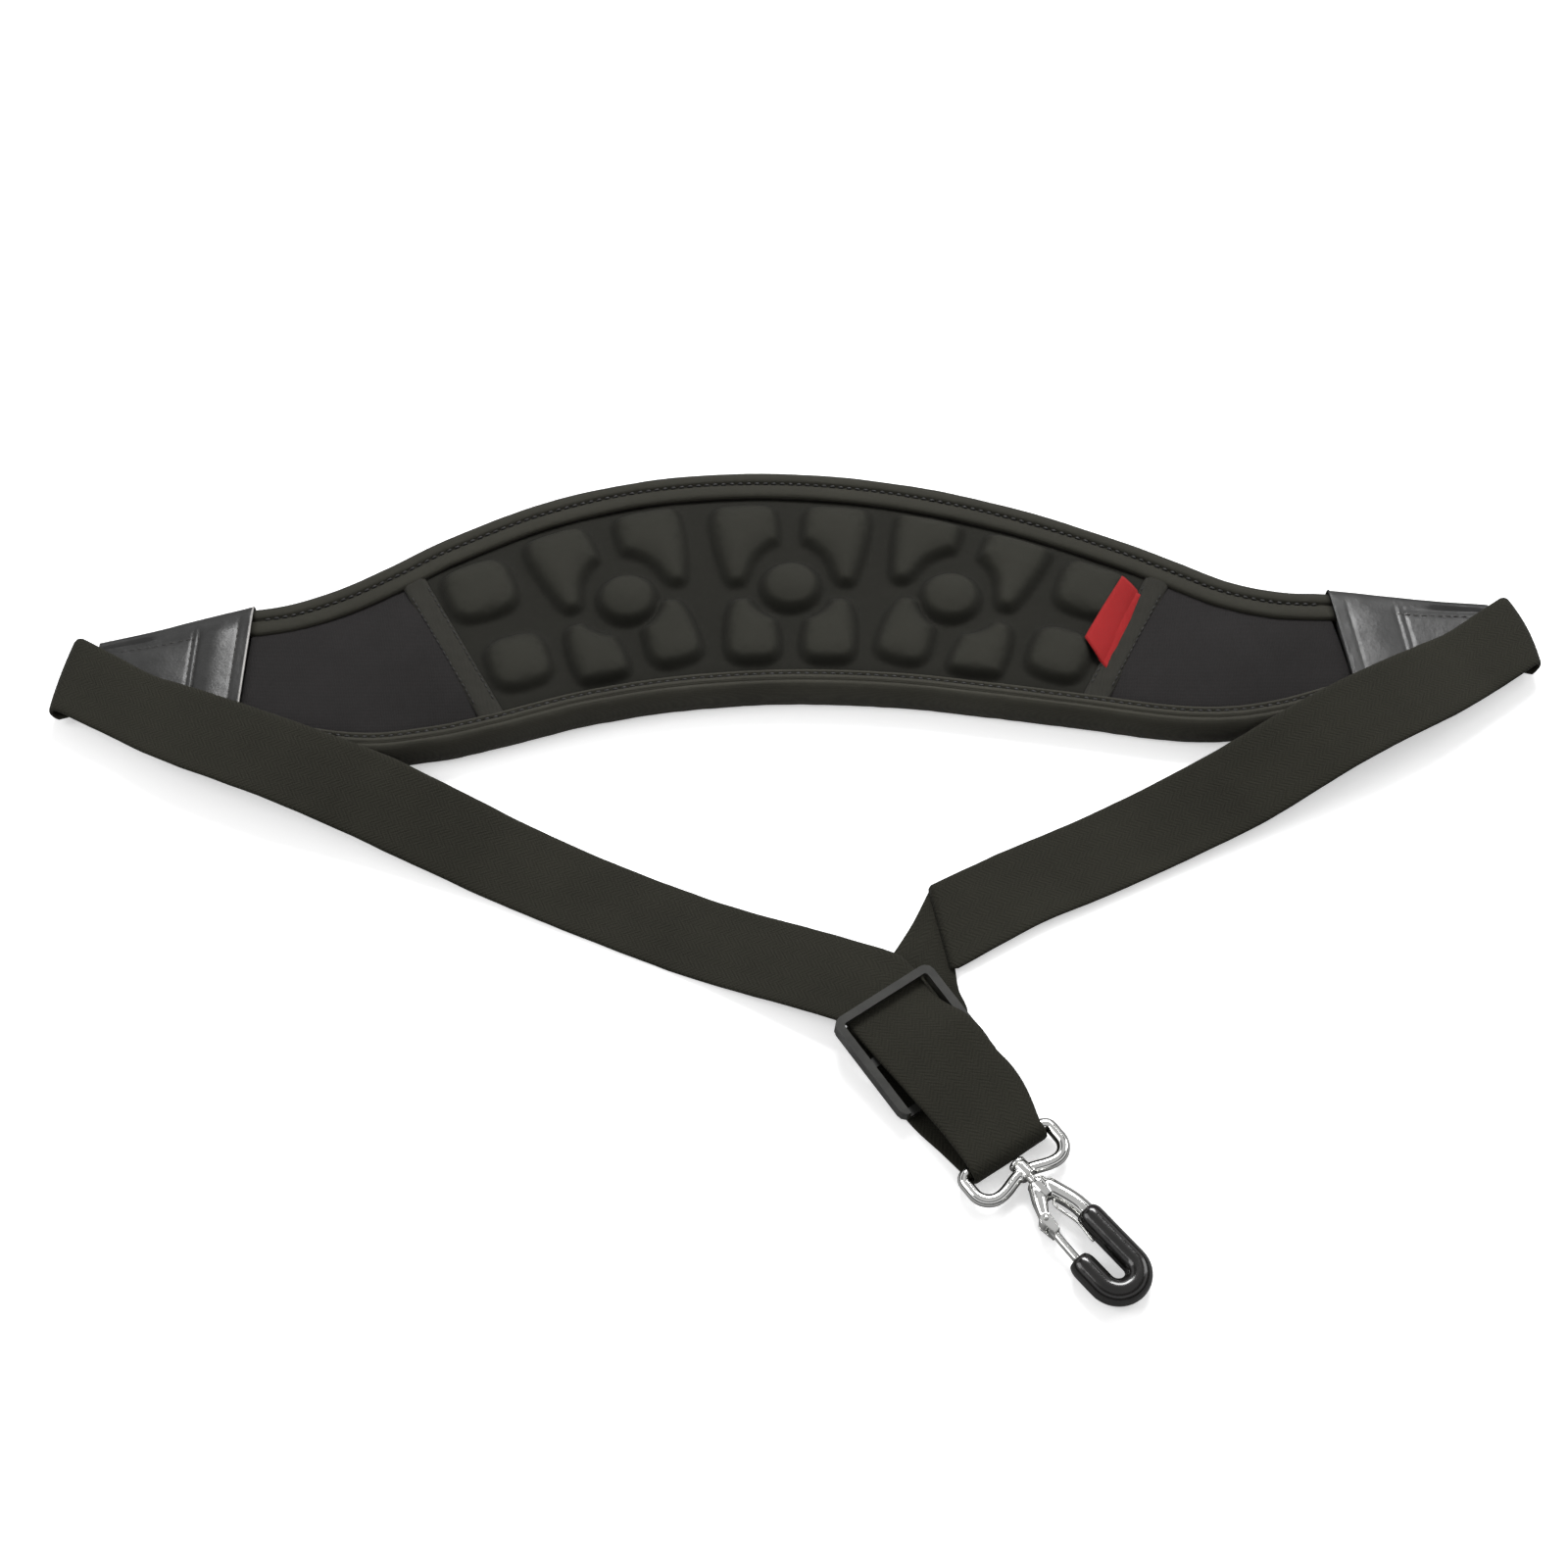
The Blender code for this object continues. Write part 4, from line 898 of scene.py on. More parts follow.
# ---------------------------------------------------------------- leather ends
LEATHER_TOPS = list(enumerate([11.9, 9.6, 7.2, 4.9]))
SEAM_STATIONS = (0.22, 1.0, 1.12)   # stitch rows across the leather
BOX_SHARES = (0.20, 0.80)           # stitch rows along it, as shares from back to front
# section from an edge inwards: (distance inside the edge, share of the height)
LEATHER_SHOULDER = [(-0.5, 0.10), (-0.6, 0.45), (-0.45, 0.75), (0.4, 0.92), (2.0, 0.985),
                    (4.5, 1.0)]


def pillow(s, t, swell):
    """Swelling between the sewn rows, with a narrow groove along each row."""
    edge = max(0.0, min(1.0, (t - 0.10) / 0.10, (0.90 - t) / 0.10))
    z = 0.0
    if 0.24 < s < 0.98:
        z += swell * math.sin(math.pi * ((s - 0.24) / 0.74) ** 1.25) ** 0.9 * edge
    if 1.12 < s < 2.9 and 0.2 < t < 0.8:
        z += (0.8 * swell * math.sin(math.pi * min(1.0, (s - 1.12) / 1.6) ** 0.8)
              * math.sin(math.pi * (t - 0.2) / 0.6) ** 0.6)
    for row in SEAM_STATIONS:
        z -= 0.26 * math.exp(-((s - row) / 0.036) ** 2) * edge
    if s > 1.1:
        for row in BOX_SHARES:
            z -= 0.32 * math.exp(-((t - row) / 0.02) ** 2)
    return z


def leather_station(side, s):
    """x, back y, front y and top z at station s."""
    stations = LEATHER[side]
    i = min(2, int(s))
    x = stations[i][0] + (stations[i + 1][0] - stations[i][0]) * (s - i)
    back = spline([(k, row[1]) for k, row in enumerate(stations)], s)
    front = spline([(k, row[2]) for k, row in enumerate(stations)], s)
    front += 3.0 * max(0.0, (s - 1.8) / 1.2)
    return x, back, front, spline(LEATHER_TOPS, s)


def leather_ring(side, s):
    """Section at station s: over the top from back to front, then under."""
    x, back, front, top = leather_station(side, s)
    width, height = back - front, top - TABLE
    section = [(back - a, TABLE + height * b) for a, b in LEATHER_SHOULDER]
    section += [(back - width * f, top + 0.25 * math.sin(math.pi * f))
                for f in np.linspace(0.12, 0.88, 32)]
    section += [(front + a, TABLE + height * b) for a, b in reversed(LEATHER_SHOULDER)]
    section += [(y, TABLE) for y in (front + 1.0, front + width * 0.3,
                                     front + width * 0.7, back - 1.0)]
    ring = []
    for y, z in section:
        t = (back - y) / width
        px = leather_x(side, x, s, t)
        if z > TABLE + 1.0:
            if 0.05 < s < 2.95:
                z += 0.12 * wave_noise(px, y, 16, 71)
            if z > TABLE + height * 0.8:
                z += pillow(s, t, 1.25) if side < 0 else pillow(s * 0.78, t, 0.4)
        ring.append((px, y, z))
    return ring


def seam_point(side, s, t, lift):
    x, back, front, top = leather_station(side, s)
    return (leather_x(side, x, s, t), back - (back - front) * t, top + lift)


def leather_end(side, name):
    rings = [leather_ring(side, s) for s in np.linspace(0, 3, 150)]
    ob = loft("leather_" + name, rings, leather)
    attach(ob, "pad", "end_leather_front_" + name, "end_leather_back_" + name)
    # thin bead over the wide end; on the left it is pale, a painted highlight where the edge
    # catches the light
    top = rings[0][1:43]
    points = []
    for k in range(41):
        f = k / 40 * (len(top) - 1)
        i = min(len(top) - 2, int(f))
        point = np.array(top[i]) * (1 - (f - i)) + np.array(top[i + 1]) * (f - i)
        point[0] -= 0.25 * side
        points.append(point)
    bead = tube("leather_cut_" + name, smooth_path(points, 1.0), 0.34,
                edge_highlight_leather if side < 0 else leather, sides=8, round_ends=True)
    attach(bead, "pad")
    rows = [("stitch", j, [seam_point(side, s, t, 0.25 * math.sin(math.pi * t) - 0.30)
                           for t in np.linspace(0.10, 0.90, 40)])
            for j, s in enumerate(SEAM_STATIONS)]
    rows += [("box", j, [seam_point(side, s, t, -0.10) for s in np.linspace(1.12, 2.7, 40)])
             for j, t in enumerate(BOX_SHARES)]
    for kind, j, path in rows:
        stitches("leather_%s_%s_%d" % (kind, name, j), path, grey_thread,
                 pitch=2.9, length=2.1, radius=0.28)


leather_end(-1, "left")
leather_end(1, "right")

# ---------------------------------------------------------------- webbing
# The webbing is a list of edge pairs (back edge point, front edge point).
# across the webbing: (place from -1 to 1, share of the thickness)
WEB_SECTION = [(-1, 0.30), (-0.985, 0.72), (-0.93, 1.0), (-0.8, 0.98), (-0.6, 0.97),
               (-0.35, 0.97), (-0.12, 0.97), (0.12, 0.97), (0.35, 0.97), (0.6, 0.97),
               (0.8, 0.98), (0.93, 1.0), (0.985, 0.72), (1, 0.30)]
WEB_BOW, WEB_WAVE = 0.10, 0.22
TIP_STEP, STRAND_STEP = 1.2, 2.6
TIP_RADIUS, TIP_Z = 2.7, 2.4        # turn radius, and height of the layer entering the leather


def refine(rows, step):
    s = [0.0]
    for p, r in zip(rows, rows[1:]):
        s.append(s[-1] + math.hypot(r[0] - p[0], r[1] - p[1]))
    channels = [[(si, row[c]) for si, row in zip(s, rows)] for c in range(4)]
    n = max(2, round(s[-1] / step))
    return [tuple(spline(channel, s[-1] * k / n) for channel in channels) for k in range(n + 1)]


def edge_pair(centre, direction, ahead, behind, z):
    """Points to either side of a centre, at distances along a direction."""
    return tuple((centre[0] + direction[0] * reach, centre[1] + direction[1] * reach, z)
                 for reach in (ahead, -behind))


def strand_edges(rows, flip):
    out = []
    for i, (x, y, z_back, z_front) in enumerate(rows):
        before, after = rows[max(0, i - 1)], rows[min(len(rows) - 1, i + 1)]
        dx, dy = after[0] - before[0], after[1] - before[1]
        n = math.hypot(dx, dy)
        nx, ny = (-dy / n, dx / n) if not flip else (dy / n, -dx / n)
        out.append(((x + nx * WEB_HALF, y + ny * WEB_HALF, z_back),
                    (x - nx * WEB_HALF, y - ny * WEB_HALF, z_front)))
    return out


def pinch(pair, keep):
    """Draw the front edge towards the back one, keeping a share of the width."""
    a, b = np.array(pair[0], float), np.array(pair[1], float)
    return (tuple(a), tuple(a + (b - a) * keep))


def web_rings(edges, steps, seed, bulges):
    """Webbing sections through edge pairs: rounded selvedges, a slight bow and waviness."""
    back, front = (np.array([pair[k] for pair in edges], float) for k in (0, 1))
    spans = np.linalg.norm(np.diff((back + front) / 2, axis=0), axis=1)
    counts = [max(1, int(round(span / step))) for span, step in zip(spans, steps)]
    starts = np.concatenate([[0], np.cumsum(counts)])

    def resample(points):
        ext = extended(points)
        out = []
        for i, count in enumerate(counts):
            p0, p1, p2, p3 = ext[i:i + 4]
            d1, d2, d3 = (max(1e-6, np.linalg.norm(v)) for v in (p1 - p0, p2 - p1, p3 - p2))
            m1 = (p2 - p0) / (d1 + d2) * d2
            m2 = (p3 - p1) / (d2 + d3) * d2
            for t in np.arange(count) / count:
                out.append((2 * t**3 - 3 * t**2 + 1) * p1 + (t**3 - 2 * t**2 + t) * m1
                           + (-2 * t**3 + 3 * t**2) * p2 + (t**3 - t**2) * m2)
        out.append(points[-1])
        return np.array(out)
    bulge = resample(np.array(bulges, float))
    back, front = resample(back), resample(front)
    middle = (back + front) / 2
    along = np.gradient(middle, axis=0)
    n = len(middle)
    rings, uvs = [], []
    length = 0.0
    previous = None
    for i in range(n):
        if i:
            length += np.linalg.norm(middle[i] - middle[i - 1])
        half = (front[i] - back[i]) / 2
        normal = unit(np.cross(along[i], half))
        if previous is not None and np.dot(normal, previous) < 0:
            normal = -normal
        previous = normal
        fade = min(1.0, i / 6, (n - 1 - i) / 6)
        ragged = unit(half) * (0.10 * wave_noise(length, 0.0, 21, seed + 9)) * fade
        top, bottom, top_uv, bottom_uv = [], [], [], []
        for c, thick in WEB_SECTION:
            wave = (wave_noise(length, c * 9.0, 46, seed)
                    + 0.35 * wave_noise(length, c * 12.0, 15, seed + 4))
            point = (middle[i] + half * c + normal * (WEB_BOW * (c * c - 0.33) * fade)
                     + bulge[i] * (1 - c * c) + normal * (WEB_WAVE * fade * wave))
            if abs(c) > 0.9:
                point = point + ragged
            top.append(point + normal * WEB_THICKNESS / 2 * thick)
            bottom.append(point - normal * WEB_THICKNESS / 2 * thick)
            top_uv.append((length, WEB_HALF * c))
            bottom_uv.append((length, WEB_HALF * c + 0.5))
        rings.append(top + bottom[::-1])
        uvs.append(top_uv + bottom_uv[::-1])
    return rings, uvs, starts


def web_piece(name, rings, uvs):
    """Closed length of webbing; its cut ends have their own points, so shading stays crisp."""
    m, n = len(rings), len(rings[0])
    # the webbing never goes through the table
    rings = [[Vector((v[0], v[1], max(v[2], TABLE))) for v in ring] for ring in rings]
    verts = [v for ring in rings for v in ring]
    uv = [pair for ring in uvs for pair in ring]
    faces = ring_faces(m, n, ends=False)
    for end in (0, m - 1):
        base = len(verts)
        verts += rings[end]
        uv += uvs[end]
        for k in range(n // 2 - 1):
            quad = (base + k, base + k + 1, base + n - 2 - k, base + n - 1 - k)
            faces.append(quad if end else quad[::-1])
    return new_object(name, verts, faces, web_weave, uv)


def tip_turn(exit_centre, exit_deg, fold_centre, fold_deg, first, front_share, swell):
    """Edge pairs and middle bulges from the leather round the tip, up to the pair `first`."""
    fold = (math.cos(math.radians(fold_deg)), math.sin(math.radians(fold_deg)))
    ahead = (math.cos(math.radians(exit_deg)), math.sin(math.radians(exit_deg)))
    half = WEB_HALF / abs(ahead[0] * fold[1] - ahead[1] * fold[0])
    out = (fold[1], -fold[0])
    if out[0] * ahead[0] + out[1] * ahead[1] < 0:
        out = (-out[0], -out[1])
    across = (-ahead[1], ahead[0])
    if across[1] < 0:
        across = (-across[0], -across[1])
    front_half = RING_WEB_HALF - 22.0 * (1 - front_share) - 1.2
    edges, bulges = [], []
    for step in (0, 15.2):
        centre = (exit_centre[0] + ahead[0] * step, exit_centre[1] + ahead[1] * step)
        edges.append(edge_pair(centre, across, RING_WEB_HALF, front_half, TIP_Z))
        bulges.append((0, 0, 0))
    up = fold if fold[1] > 0 else (-fold[0], -fold[1])
    base = (fold_centre[0] - out[0] * TIP_RADIUS, fold_centre[1] - out[1] * TIP_RADIUS)
    for k in range(9):
        angle = math.radians(-90 + 180 * k / 8)
        c = math.cos(angle)
        centre = (base[0] + out[0] * TIP_RADIUS * c, base[1] + out[1] * TIP_RADIUS * c)
        keep = 1 - (1 - front_share) * (0.4 + 0.6 * c)
        edges.append(edge_pair(centre, up, half, half * keep,
                               TIP_Z + TIP_RADIUS + TIP_RADIUS * math.sin(angle)))
        bulges.append((*(o * swell * (0.35 + 0.65 * c) for o in out), 0))
    edges.append(tuple(tuple(a + (b - a) * 0.5 for a, b in zip(p, q))
                       for p, q in zip(edges[-1], first)))
    bulges.append((0, 0, 0))
    return edges, bulges


# over the slider the webbing rides up on the +across side:
# (along the loop, - side across, + side across, z of - side, z of + side)
OVER_SLIDER = [(3.0, -14.8, 15.0, 6.8, 6.8), (11.0, -14.5, 15.1, 6.8, 7.0),
               (16.5, -14.3, 16.2, 6.8, 8.2), (22.0, -14.1, 18.0, 6.85, 9.2),
               (30.0, -13.8, 18.9, 7.1, 8.7), (38.0, -13.6, 18.4, 7.3, 7.9),
               (46.0, -13.4, 19.0, 7.2, 7.4), (55.0, -13.4, 17.7, 7.0, 7.0),
               (RING_S, -13.9, 14.2, Z_UPPER, Z_UPPER)]
# lower layer from the ring back to the crease: + side (x, y), - side (x, y), z
LOWER_LAYER = [(on_loop(RING_S - 0.3, 14.2), on_loop(RING_S - 0.3, -14.2), Z_LOWER),
               (on_loop(57, 15.0), on_loop(56, -15.2), Z_LOWER),
               (on_loop(44, 16.0), on_loop(42, -17.0), -0.35),
               (on_loop(30, 16.0), on_loop(27, -17.3), -0.4),
               (on_loop(18, 19.0), on_loop(12, -15.5), -0.45),
               ((57.0, -164.6), on_loop(1.5, -14.8), -0.5),
               ((54.4, -156.4), (38.6, -134.0), -0.55),
               ((53.4, -147.4), (46.0, -118.0), -0.55)]


def left_strand():
    """One piece: left strand, upper layer, bend at the ring, lower layer under the slider."""
    rows = refine(LEFT_STRAND + [(26.2, -160.6, Z_UPPER, Z_UPPER)], 13.0)
    edges = strand_edges(rows, flip=False)
    edges[0] = pinch(edges[0], 0.92)
    edges[1] = pinch(edges[1], 0.975)
    # mitred pair where the strand turns into the loop
    heading = math.degrees(math.atan2(rows[-1][1] - rows[-2][1], rows[-1][0] - rows[-2][0]))
    mitre = math.radians((heading + LOOP_DEG) / 2 + 90)
    half = WEB_HALF / math.cos(math.radians(15.7))
    edges[-1] = edge_pair(on_loop(-3.0, 0), (math.cos(mitre), math.sin(mitre)), half, half,
                          Z_UPPER)
    for s, minus, plus, z_minus, z_plus in OVER_SLIDER:
        edges.append((loop_point(s, plus, z_plus), loop_point(s, minus, z_minus)))
    bend = (Z_UPPER - Z_LOWER) / 2
    for k in range(1, 8):
        angle = math.radians(90 - 180 * k / 8)
        along, z = RING_S + bend * math.cos(angle), Z_MID + bend * math.sin(angle)
        edges.append((loop_point(along, RING_WEB_HALF, z), loop_point(along, -RING_WEB_HALF, z)))
    edges += [((*plus, z), (*minus, z)) for plus, minus, z in LOWER_LAYER]
    return edges


def right_strand():
    """Right strand, rolled over at the crease down to the layer underneath."""
    edges = strand_edges(refine(RIGHT_STRAND, 13.0), flip=True)
    edges[0] = pinch(edges[0], 0.935)
    edges[1] = pinch(edges[1], 0.98)
    (back_x, back_y), (front_x, front_y) = CREASE
    for dx, z, k in ((2.4, 1.40, 0.0), (1.0, 1.25, 0.02), (0.45, 0.45, 0.035),
                     (1.0, -0.35, 0.02)):
        edges.append(((back_x + dx + 6.8 * k, back_y + 0.2 - 33 * k, z),
                      (front_x + dx, front_y + 0.6, z)))
    return edges


def webbing(side, strand, tip_centre, seed, replaced, **turn):
    tip, bulges = tip_turn(fold_centre=tip_centre, first=strand[0], **turn)
    steps = [TIP_STEP] * len(tip) + [STRAND_STEP] * (len(strand) - 1)
    rings, uvs, starts = web_rings(tip + strand, steps, seed,
                                   bulges + [(0, 0, 0)] * len(strand))
    cut = int(starts[len(tip)])
    attach(web_piece("webbing_" + side, rings[cut:], uvs[cut:]), "strap", *replaced)
    turned = web_piece("webbing_tip_" + side, rings[:cut + 1], uvs[:cut + 1])
    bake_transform(turned)
    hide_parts("webbing_turn_" + side)


webbing("left", left_strand(), LEFT_TIP, seed=81,
        replaced=("webbing_left_strand", "webbing_lower_layer"),
        exit_centre=(-229.0, -34.6), exit_deg=186.0, fold_deg=79.9, front_share=0.97, swell=0.5)
webbing("right", right_strand(), RIGHT_TIP, seed=91, replaced=("webbing_right_strand",),
        exit_centre=(231.0, -19.6), exit_deg=4.0, fold_deg=106.4, front_share=0.90, swell=1.6)


# ---------------------------------------------------------------- label tab
def label_leaf(name, seam, fold, section, ripple):
    """Ribbon leaf between two lines, each (start x, start y, run x, run y).

    section holds (share from seam to fold, z); ripple(f, t) gives offsets in x and z.
    """
    rings = []
    for k in range(23):
        f = k / 22
        x0, y0 = seam[0] + seam[2] * f, seam[1] + seam[3] * f
        dx, dy = fold[0] + fold[2] * f - x0, fold[1] + fold[3] * f - y0
        ring = []
        for t, z in section:
            ripple_x, ripple_z = ripple(f, t)
            ring.append((x0 + dx * t + ripple_x, y0 + dy * t, z + ripple_z))
        rings.append(ring)
    return loft(name, rings, cloth["label_cloth"])


LABEL_REACH = 1.25                  # the fold overshoots its line
LABEL_FOLD = [(0.0, 10.4), (0.12, 11.4), (0.35, 12.3), (0.62, 13.1), (0.86, 13.7), (1.0, 13.8),
              (1.06, 13.5), (1.0, 13.15), (0.84, 12.95), (0.6, 12.35), (0.36, 11.5),
              (0.18, 10.6), (0.08, 10.2)]
label = label_leaf(
    "label_fold", (121.6, -2.6, -13.6, -32.0), (116.9, 1.0, -14.0, -27.6),
    [(LABEL_REACH * t, z) for t, z in LABEL_FOLD],
    lambda f, t: (0.30 * math.sin(4.2 * f + 2.0 * t / LABEL_REACH),
                  0.40 * math.sin(5.0 * f + 1.4) * t / LABEL_REACH))
attach(label, "pad", "label_tab")
# second leaf, showing as an edge below the first
attach(label_leaf(
    "label_under_leaf", (121.9, -3.6, -13.4, -32.0), (119.6, -2.4, -13.8, -29.6),
    [(-0.35, 10.35), (0, 11.0), (0.5, 11.35), (1.0, 11.6), (1.0, 11.25), (0.5, 10.95),
     (0.0, 10.6), (-0.35, 10.1)],
    lambda f, t: (0.0, 0.2 * math.sin(5 * f))), "pad")

# ---------------------------------------------------------------- hardware
VOXEL = 0.20
GATE_VOXEL = 0.16


def fuse(name, pieces, voxel, smoothing):
    """Join overlapping bodies into one cast chrome body with soft transitions."""
    bm = bmesh.new()
    for piece in pieces:
        bm.from_mesh(piece.data)
        bpy.data.objects.remove(piece, do_unlink=True)
    mesh = bpy.data.meshes.new(name)
    bm.to_mesh(mesh)
    bm.free()
    ob = bpy.data.objects.new(name, mesh)
    COLLECTION.objects.link(ob)
    remesh = ob.modifiers.new("r", "REMESH")
    remesh.mode = "VOXEL"
    remesh.voxel_size = voxel * MM
    smooth = ob.modifiers.new("s", "SMOOTH")
    smooth.factor = 0.5
    smooth.iterations = smoothing
    apply_modifiers(ob)
    set_material(ob, chrome)
    return ob


def on_axis(along):
    return hook_point(along, POST_W)


def on_pivot(z):
    return hook_point(GATE_H, GATE_W, z)


def turned_body(name, place, profile, material, sides):
    """Round body from (position, radius) rows, with place() giving the centres."""
    return tube(name, [place(p) for p, _ in profile], [r for _, r in profile], material, sides)


def hook_path(points, step):
    return smooth_path([hook_point(*p) for p in points], step)


def ring_path():
    """Closed (along, across) wire line: straight back bar, rounded lobes, dipped front."""
    half = RING_INNER + RING_WIRE
    back, front = RING_S, RING_FRONT - RING_WIRE
    corner_r, lobe_r = RING_WIRE + 0.3, 5.6
    straight = half - corner_r

    def flank(side):
        points = []
        for k in range(1, 7):
            a = math.radians(90 * k / 6)
            points.append((back + corner_r - corner_r * math.cos(a),
                           side * (straight + corner_r * math.sin(a))))
        points.append((front - lobe_r, side * half))
        for k in range(1, 13):
            a = math.radians(90 * k / 12)
            points.append((front - lobe_r + lobe_r * math.sin(a),
                           side * (half - lobe_r + lobe_r * math.cos(a))))
        return points
    back_bar = [(back, -straight + 2 * straight * k / 8) for k in range(9)]
    reach = half - lobe_r
    dip = []
    for k in range(1, 20):
        t = reach - 2 * reach * k / 20
        depth = 2.6 * (0.5 + 0.5 * math.cos(math.pi * min(1.0, abs(t) / reach)))
        dip.append((front - depth, t))
    return back_bar + flank(1) + dip + flank(-1)[::-1]


def hook_curve(start, end_h):
    """(along, across) line of the hook from its start points round the bend to the nose."""
    radius, centre_w = (SPINE_W - NOSE_W) / 2, (SPINE_W + NOSE_W) / 2
    points = start + [(22.0, SPINE_W), (30.0, SPINE_W)]
    for k in range(25):
        a = math.radians(90 - 180 * k / 24)
        points.append((BEND_H + radius * math.cos(a), centre_w + radius * math.sin(a)))
    return points + [(end_h, NOSE_W)]


def eye_ring():
    wire = tube("ring", [loop_point(s, t, Z_MID) for s, t in ring_path()], RING_WIRE, chrome,
                sides=24, cyclic=True)
    boss = turned_body("rod", on_axis, [(-6.1, 2.9), (-3.7, 2.9), (-1.3, 2.9)], chrome, 32)
    attach(fuse("ring_body", [wire, boss], VOXEL, smoothing=4), "ring", "eye_ring")


def swivel_post():
    profile = [(-8.30, 0.2), (-8.25, 1.6), (-7.9, 2.45), (-7.4, 2.85), (-6.7, 2.9), (-6.5, 2.6),
               (-6.45, 1.45), (-3.0, 1.45), (0.0, 1.45), (0.9, 1.45), (3.0, 1.4), (6.3, 1.4)]
    attach(turned_body("post_body", on_axis, profile, chrome, 32), "hook", "swivel_post")


def hook_casting():
    line = hook_curve([(5.0, 1.6), (8.0, 2.6), (12.0, 3.9), (16.0, 4.65)], NOSE_H + 1.5)
    core = tube("core", hook_path(line, 1.2), CORE_RADIUS, chrome, sides=24, round_ends=True)
    collar = turned_body("collar", on_axis, [(0.9, 2.6), (1.3, 3.15), (2.2, 3.4), (5.5, 3.35),
                                             (7.6, 2.8), (8.4, 1.2)], chrome, 32)
    path = hook_path([(3.0, -1.4), (6.6, -3.6), (9.8, -5.4), (GATE_H, GATE_W)], 0.8)
    radii = np.interp(np.linspace(0, 1, len(path)), [0, 0.45, 0.75, 1], [2.7, 2.45, 1.9, 1.6])
    arm = tube("arm", path, radii, chrome, sides=24, round_ends=True)
    boss = turned_body("pboss", on_pivot, [(-1.9, 1.7), (-1.6, 2.05), (0, 2.1), (1.6, 2.05),
                                           (1.9, 1.7)], chrome, 28)
    attach(fuse("hook_casting", [core, collar, arm, boss], VOXEL, smoothing=5),
           "hook", "hook_body")


def hook_coating():
    path = hook_path(hook_curve([(COAT_H, SPINE_W)], NOSE_H), 0.8)
    radii = np.full(len(path), COAT_RADIUS)
    radii[:5] *= [0.80, 0.90, 0.96, 0.99, 1.0]
    radii[-5:] *= [1.0, 0.99, 0.96, 0.90, 0.78]
    attach(tube("dip_sleeve", path, radii, dip_plastic, sides=32), "hook", "hook_coating")


def gate_lever():
    """Gate lever with a cheek plate above and below, joined by a bridge."""
    path = hook_path([(GATE_H + 3.0, GATE_W - 0.1), (22.0, -7.8), (NOSE_H - 0.7, NOSE_W)], 1.0)
    pieces = [tube("lever", path, 1.35, chrome, sides=20)]
    for middle in (-2.65, 2.65):
        rings = []
        for z in (middle - 0.42, middle + 0.42):
            ring = []
            for angle in np.linspace(0, 2 * np.pi, 28, endpoint=False):
                c, s = math.cos(angle), math.sin(angle)
                centre, rx, ry = (GATE_H + 3.6, 1.8, 1.5) if c > 0 else (GATE_H, 2.0, 2.0)
                ring.append(hook_point(centre + rx * c, GATE_W + ry * s, z))
            rings.append(ring)
        pieces.append(loft("cheek", rings, chrome))
    corners = ((2.9, 1.15), (5.3, 1.1), (5.4, -1.3), (3.0, -1.5))
    pieces.append(loft("bridge", [[hook_point(GATE_H + a, GATE_W + b, z) for a, b in corners]
                                  for z in (-3.0, 3.0)], chrome))
    attach(fuse("gate_lever_body", pieces, GATE_VOXEL, smoothing=3), "gate_lever", "gate")


def gate_pin_and_spring():
    profile = [(-3.7, 0.5), (-3.55, 0.85), (-3.0, 0.8), (3.0, 0.8), (3.55, 0.85), (3.7, 0.5)]
    attach(turned_body("pin_body", on_pivot, profile, steel, 24), "hook", "gate_pin")
    path = hook_path([(9.6, -0.1, 0.6), (11.5, -1.3, 0.6), (20.0, 0.2, 0.6), (27.6, -0.4, 0.6)],
                     0.8)
    spring = tube("spring_wire", path, 0.45, steel, sides=12, round_ends=True)
    attach(spring, "hook", "gate_spring")


eye_ring()
swivel_post()
hook_casting()
hook_coating()
gate_lever()
gate_pin_and_spring()

# pieces kept from the loaded frame; the slider gets softened corners
for node, material in (("slider_frame", slider_plastic), ("foam_core", cloth["foam_inside"]),
                       ("webbing_anchor_left", web_weave), ("webbing_anchor_right", web_weave)):
    set_material(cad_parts[node], material)
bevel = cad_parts["slider_frame"].modifiers.new("soft", "BEVEL")
bevel.width = 0.6 * MM
bevel.segments = 2
bevel.limit_method = "ANGLE"
bevel.angle_limit = math.radians(25)


# ---------------------------------------------------------------- floor, light, camera (metres)
def floor():
    """White floor, darker in reflections and clear from below."""
    bpy.ops.mesh.primitive_plane_add(size=6.0, location=(0, 0, (TABLE - 0.05) * MM))
    plane = bpy.context.object
    plane.name = "floor"
    g = new_material("floor_paper")
    grain = g.noise(g.coords(), scale=3, detail=3)
    ray = g.node("LightPath")
    paper = g.ramp(grain, (0.90, 0.90, 0.90), (0.94, 0.94, 0.94))
    g.surface({"Base Color": g.mix(ray["Is Glossy Ray"], paper, (0.26, 0.26, 0.26, 1)),
               "Roughness": 0.9})
    clear = g.node("BsdfTransparent")[0]
    below = g.node("NewGeometry")["Backfacing"]
    sheet = g.node("MixShader", {0: below, 1: g.tree.nodes["Principled BSDF"].outputs[0],
                                 2: clear})[0]
    # glow seen by the camera, and by diffuse rays from within 6 mm
    near = g.calc("MULTIPLY", g.calc("LESS_THAN", ray["Ray Length"], 0.006),
                  ray["Is Diffuse Ray"])
    strength = g.blend(ray["Is Camera Ray"], 0.42, near, 0.55)
    glow = g.node("Emission", {"Color": (1, 1, 1, 1), "Strength": strength})[0]
    both = g.node("AddShader", {0: sheet, 1: glow})[0]
    g.feed(g.tree.nodes["Material Output"].inputs["Surface"],
           g.node("MixShader", {0: below, 1: both, 2: clear})[0])
    plane.data.materials.append(g.owner)


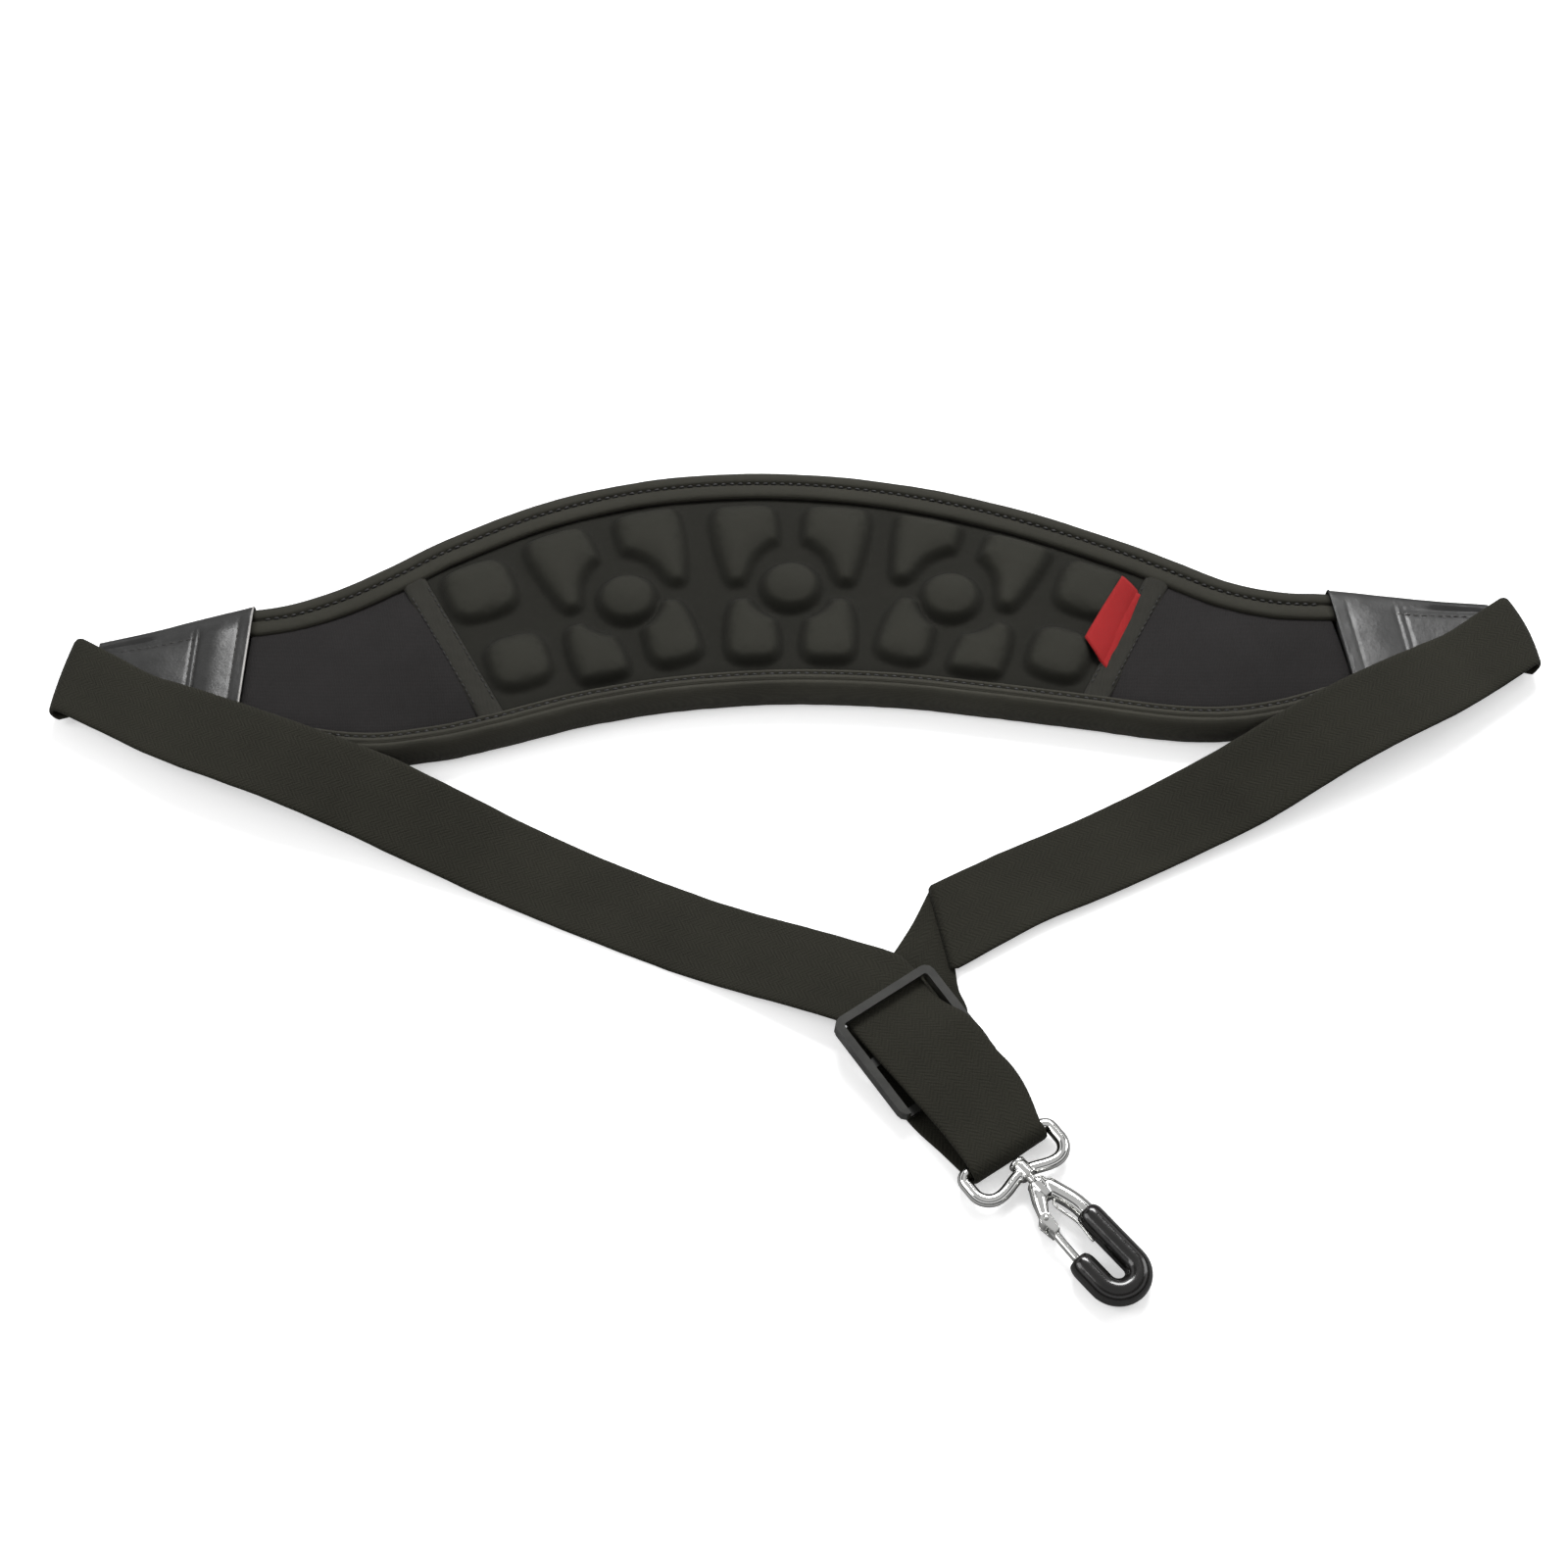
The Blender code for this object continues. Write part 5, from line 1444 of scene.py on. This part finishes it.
def area_light(name, location, target, size, power, size_y=None):
    data = bpy.data.lights.new(name, "AREA")
    data.energy = power
    data.size = size
    if size_y:
        data.shape = "RECTANGLE"
        data.size_y = size_y
    ob = bpy.data.objects.new(name, data)
    bpy.context.scene.collection.objects.link(ob)
    ob.location = location
    aim = Vector(target) - Vector(location)
    ob.rotation_euler = aim.to_track_quat("-Z", "Y").to_euler()


# grey level by height of the view direction, as seen in reflections
SKY_BANDS = ((0.22, 0.05), (0.36, 0.75), (0.52, 0.95), (0.62, 0.12), (0.74, 0.10), (0.86, 0.55))


def studio_world():
    """White to the camera, even grey for diffuse light, banded for reflections."""
    world = bpy.data.worlds.new("studio")
    bpy.context.scene.world = world
    g = Graph(world)
    ray = g.node("LightPath")
    height = g.node("SeparateXYZ", {0: g.coords("Generated")})["Z"]
    bands = g.ramp(height, (0.03, 0.03, 0.03), (0.50, 0.50, 0.50))
    ramp = bands.node.color_ramp
    ramp.interpolation = "EASE"
    for position, level in SKY_BANDS:
        ramp.elements.new(position).color = (level, level, level * 1.01, 1)
    light = g.mix(ray["Is Glossy Ray"], (0.50, 0.50, 0.50, 1), bands)
    background = g.tree.nodes["Background"]
    g.feed(background.inputs[0], g.mix(ray["Is Camera Ray"], light, (1, 1, 1, 1)))
    background.inputs[1].default_value = 1.0


def camera():
    half_view, elevation = math.radians(14.0), math.radians(56.0)
    distance = 1.06815
    data = bpy.data.cameras.new("cam")
    data.sensor_width = 36
    data.lens = 18 / math.tan(half_view)
    data.clip_start = 0.01
    ob = bpy.data.objects.new("cam", data)
    bpy.context.scene.collection.objects.link(ob)
    target = Vector((-0.0024, -0.0752, TABLE * MM))
    ob.location = target + Vector((0, -math.cos(elevation) * distance,
                                   math.sin(elevation) * distance))
    ob.rotation_euler = (target - ob.location).to_track_quat("-Z", "Y").to_euler()
    bpy.context.scene.camera = ob
    bpy.context.scene.view_settings.view_transform = "Standard"


floor()
area_light("key_back", (0.15, 1.15, 1.30), target=(0, -0.05, 0), size=0.9, power=30, size_y=0.5)
area_light("fill_left", (-1.3, -0.2, 1.2), target=(0, -0.08, 0), size=0.8, power=8)
area_light("fill_right", (1.3, 0.5, 0.9), target=(0, -0.06, 0), size=0.7, power=5)
studio_world()
camera()
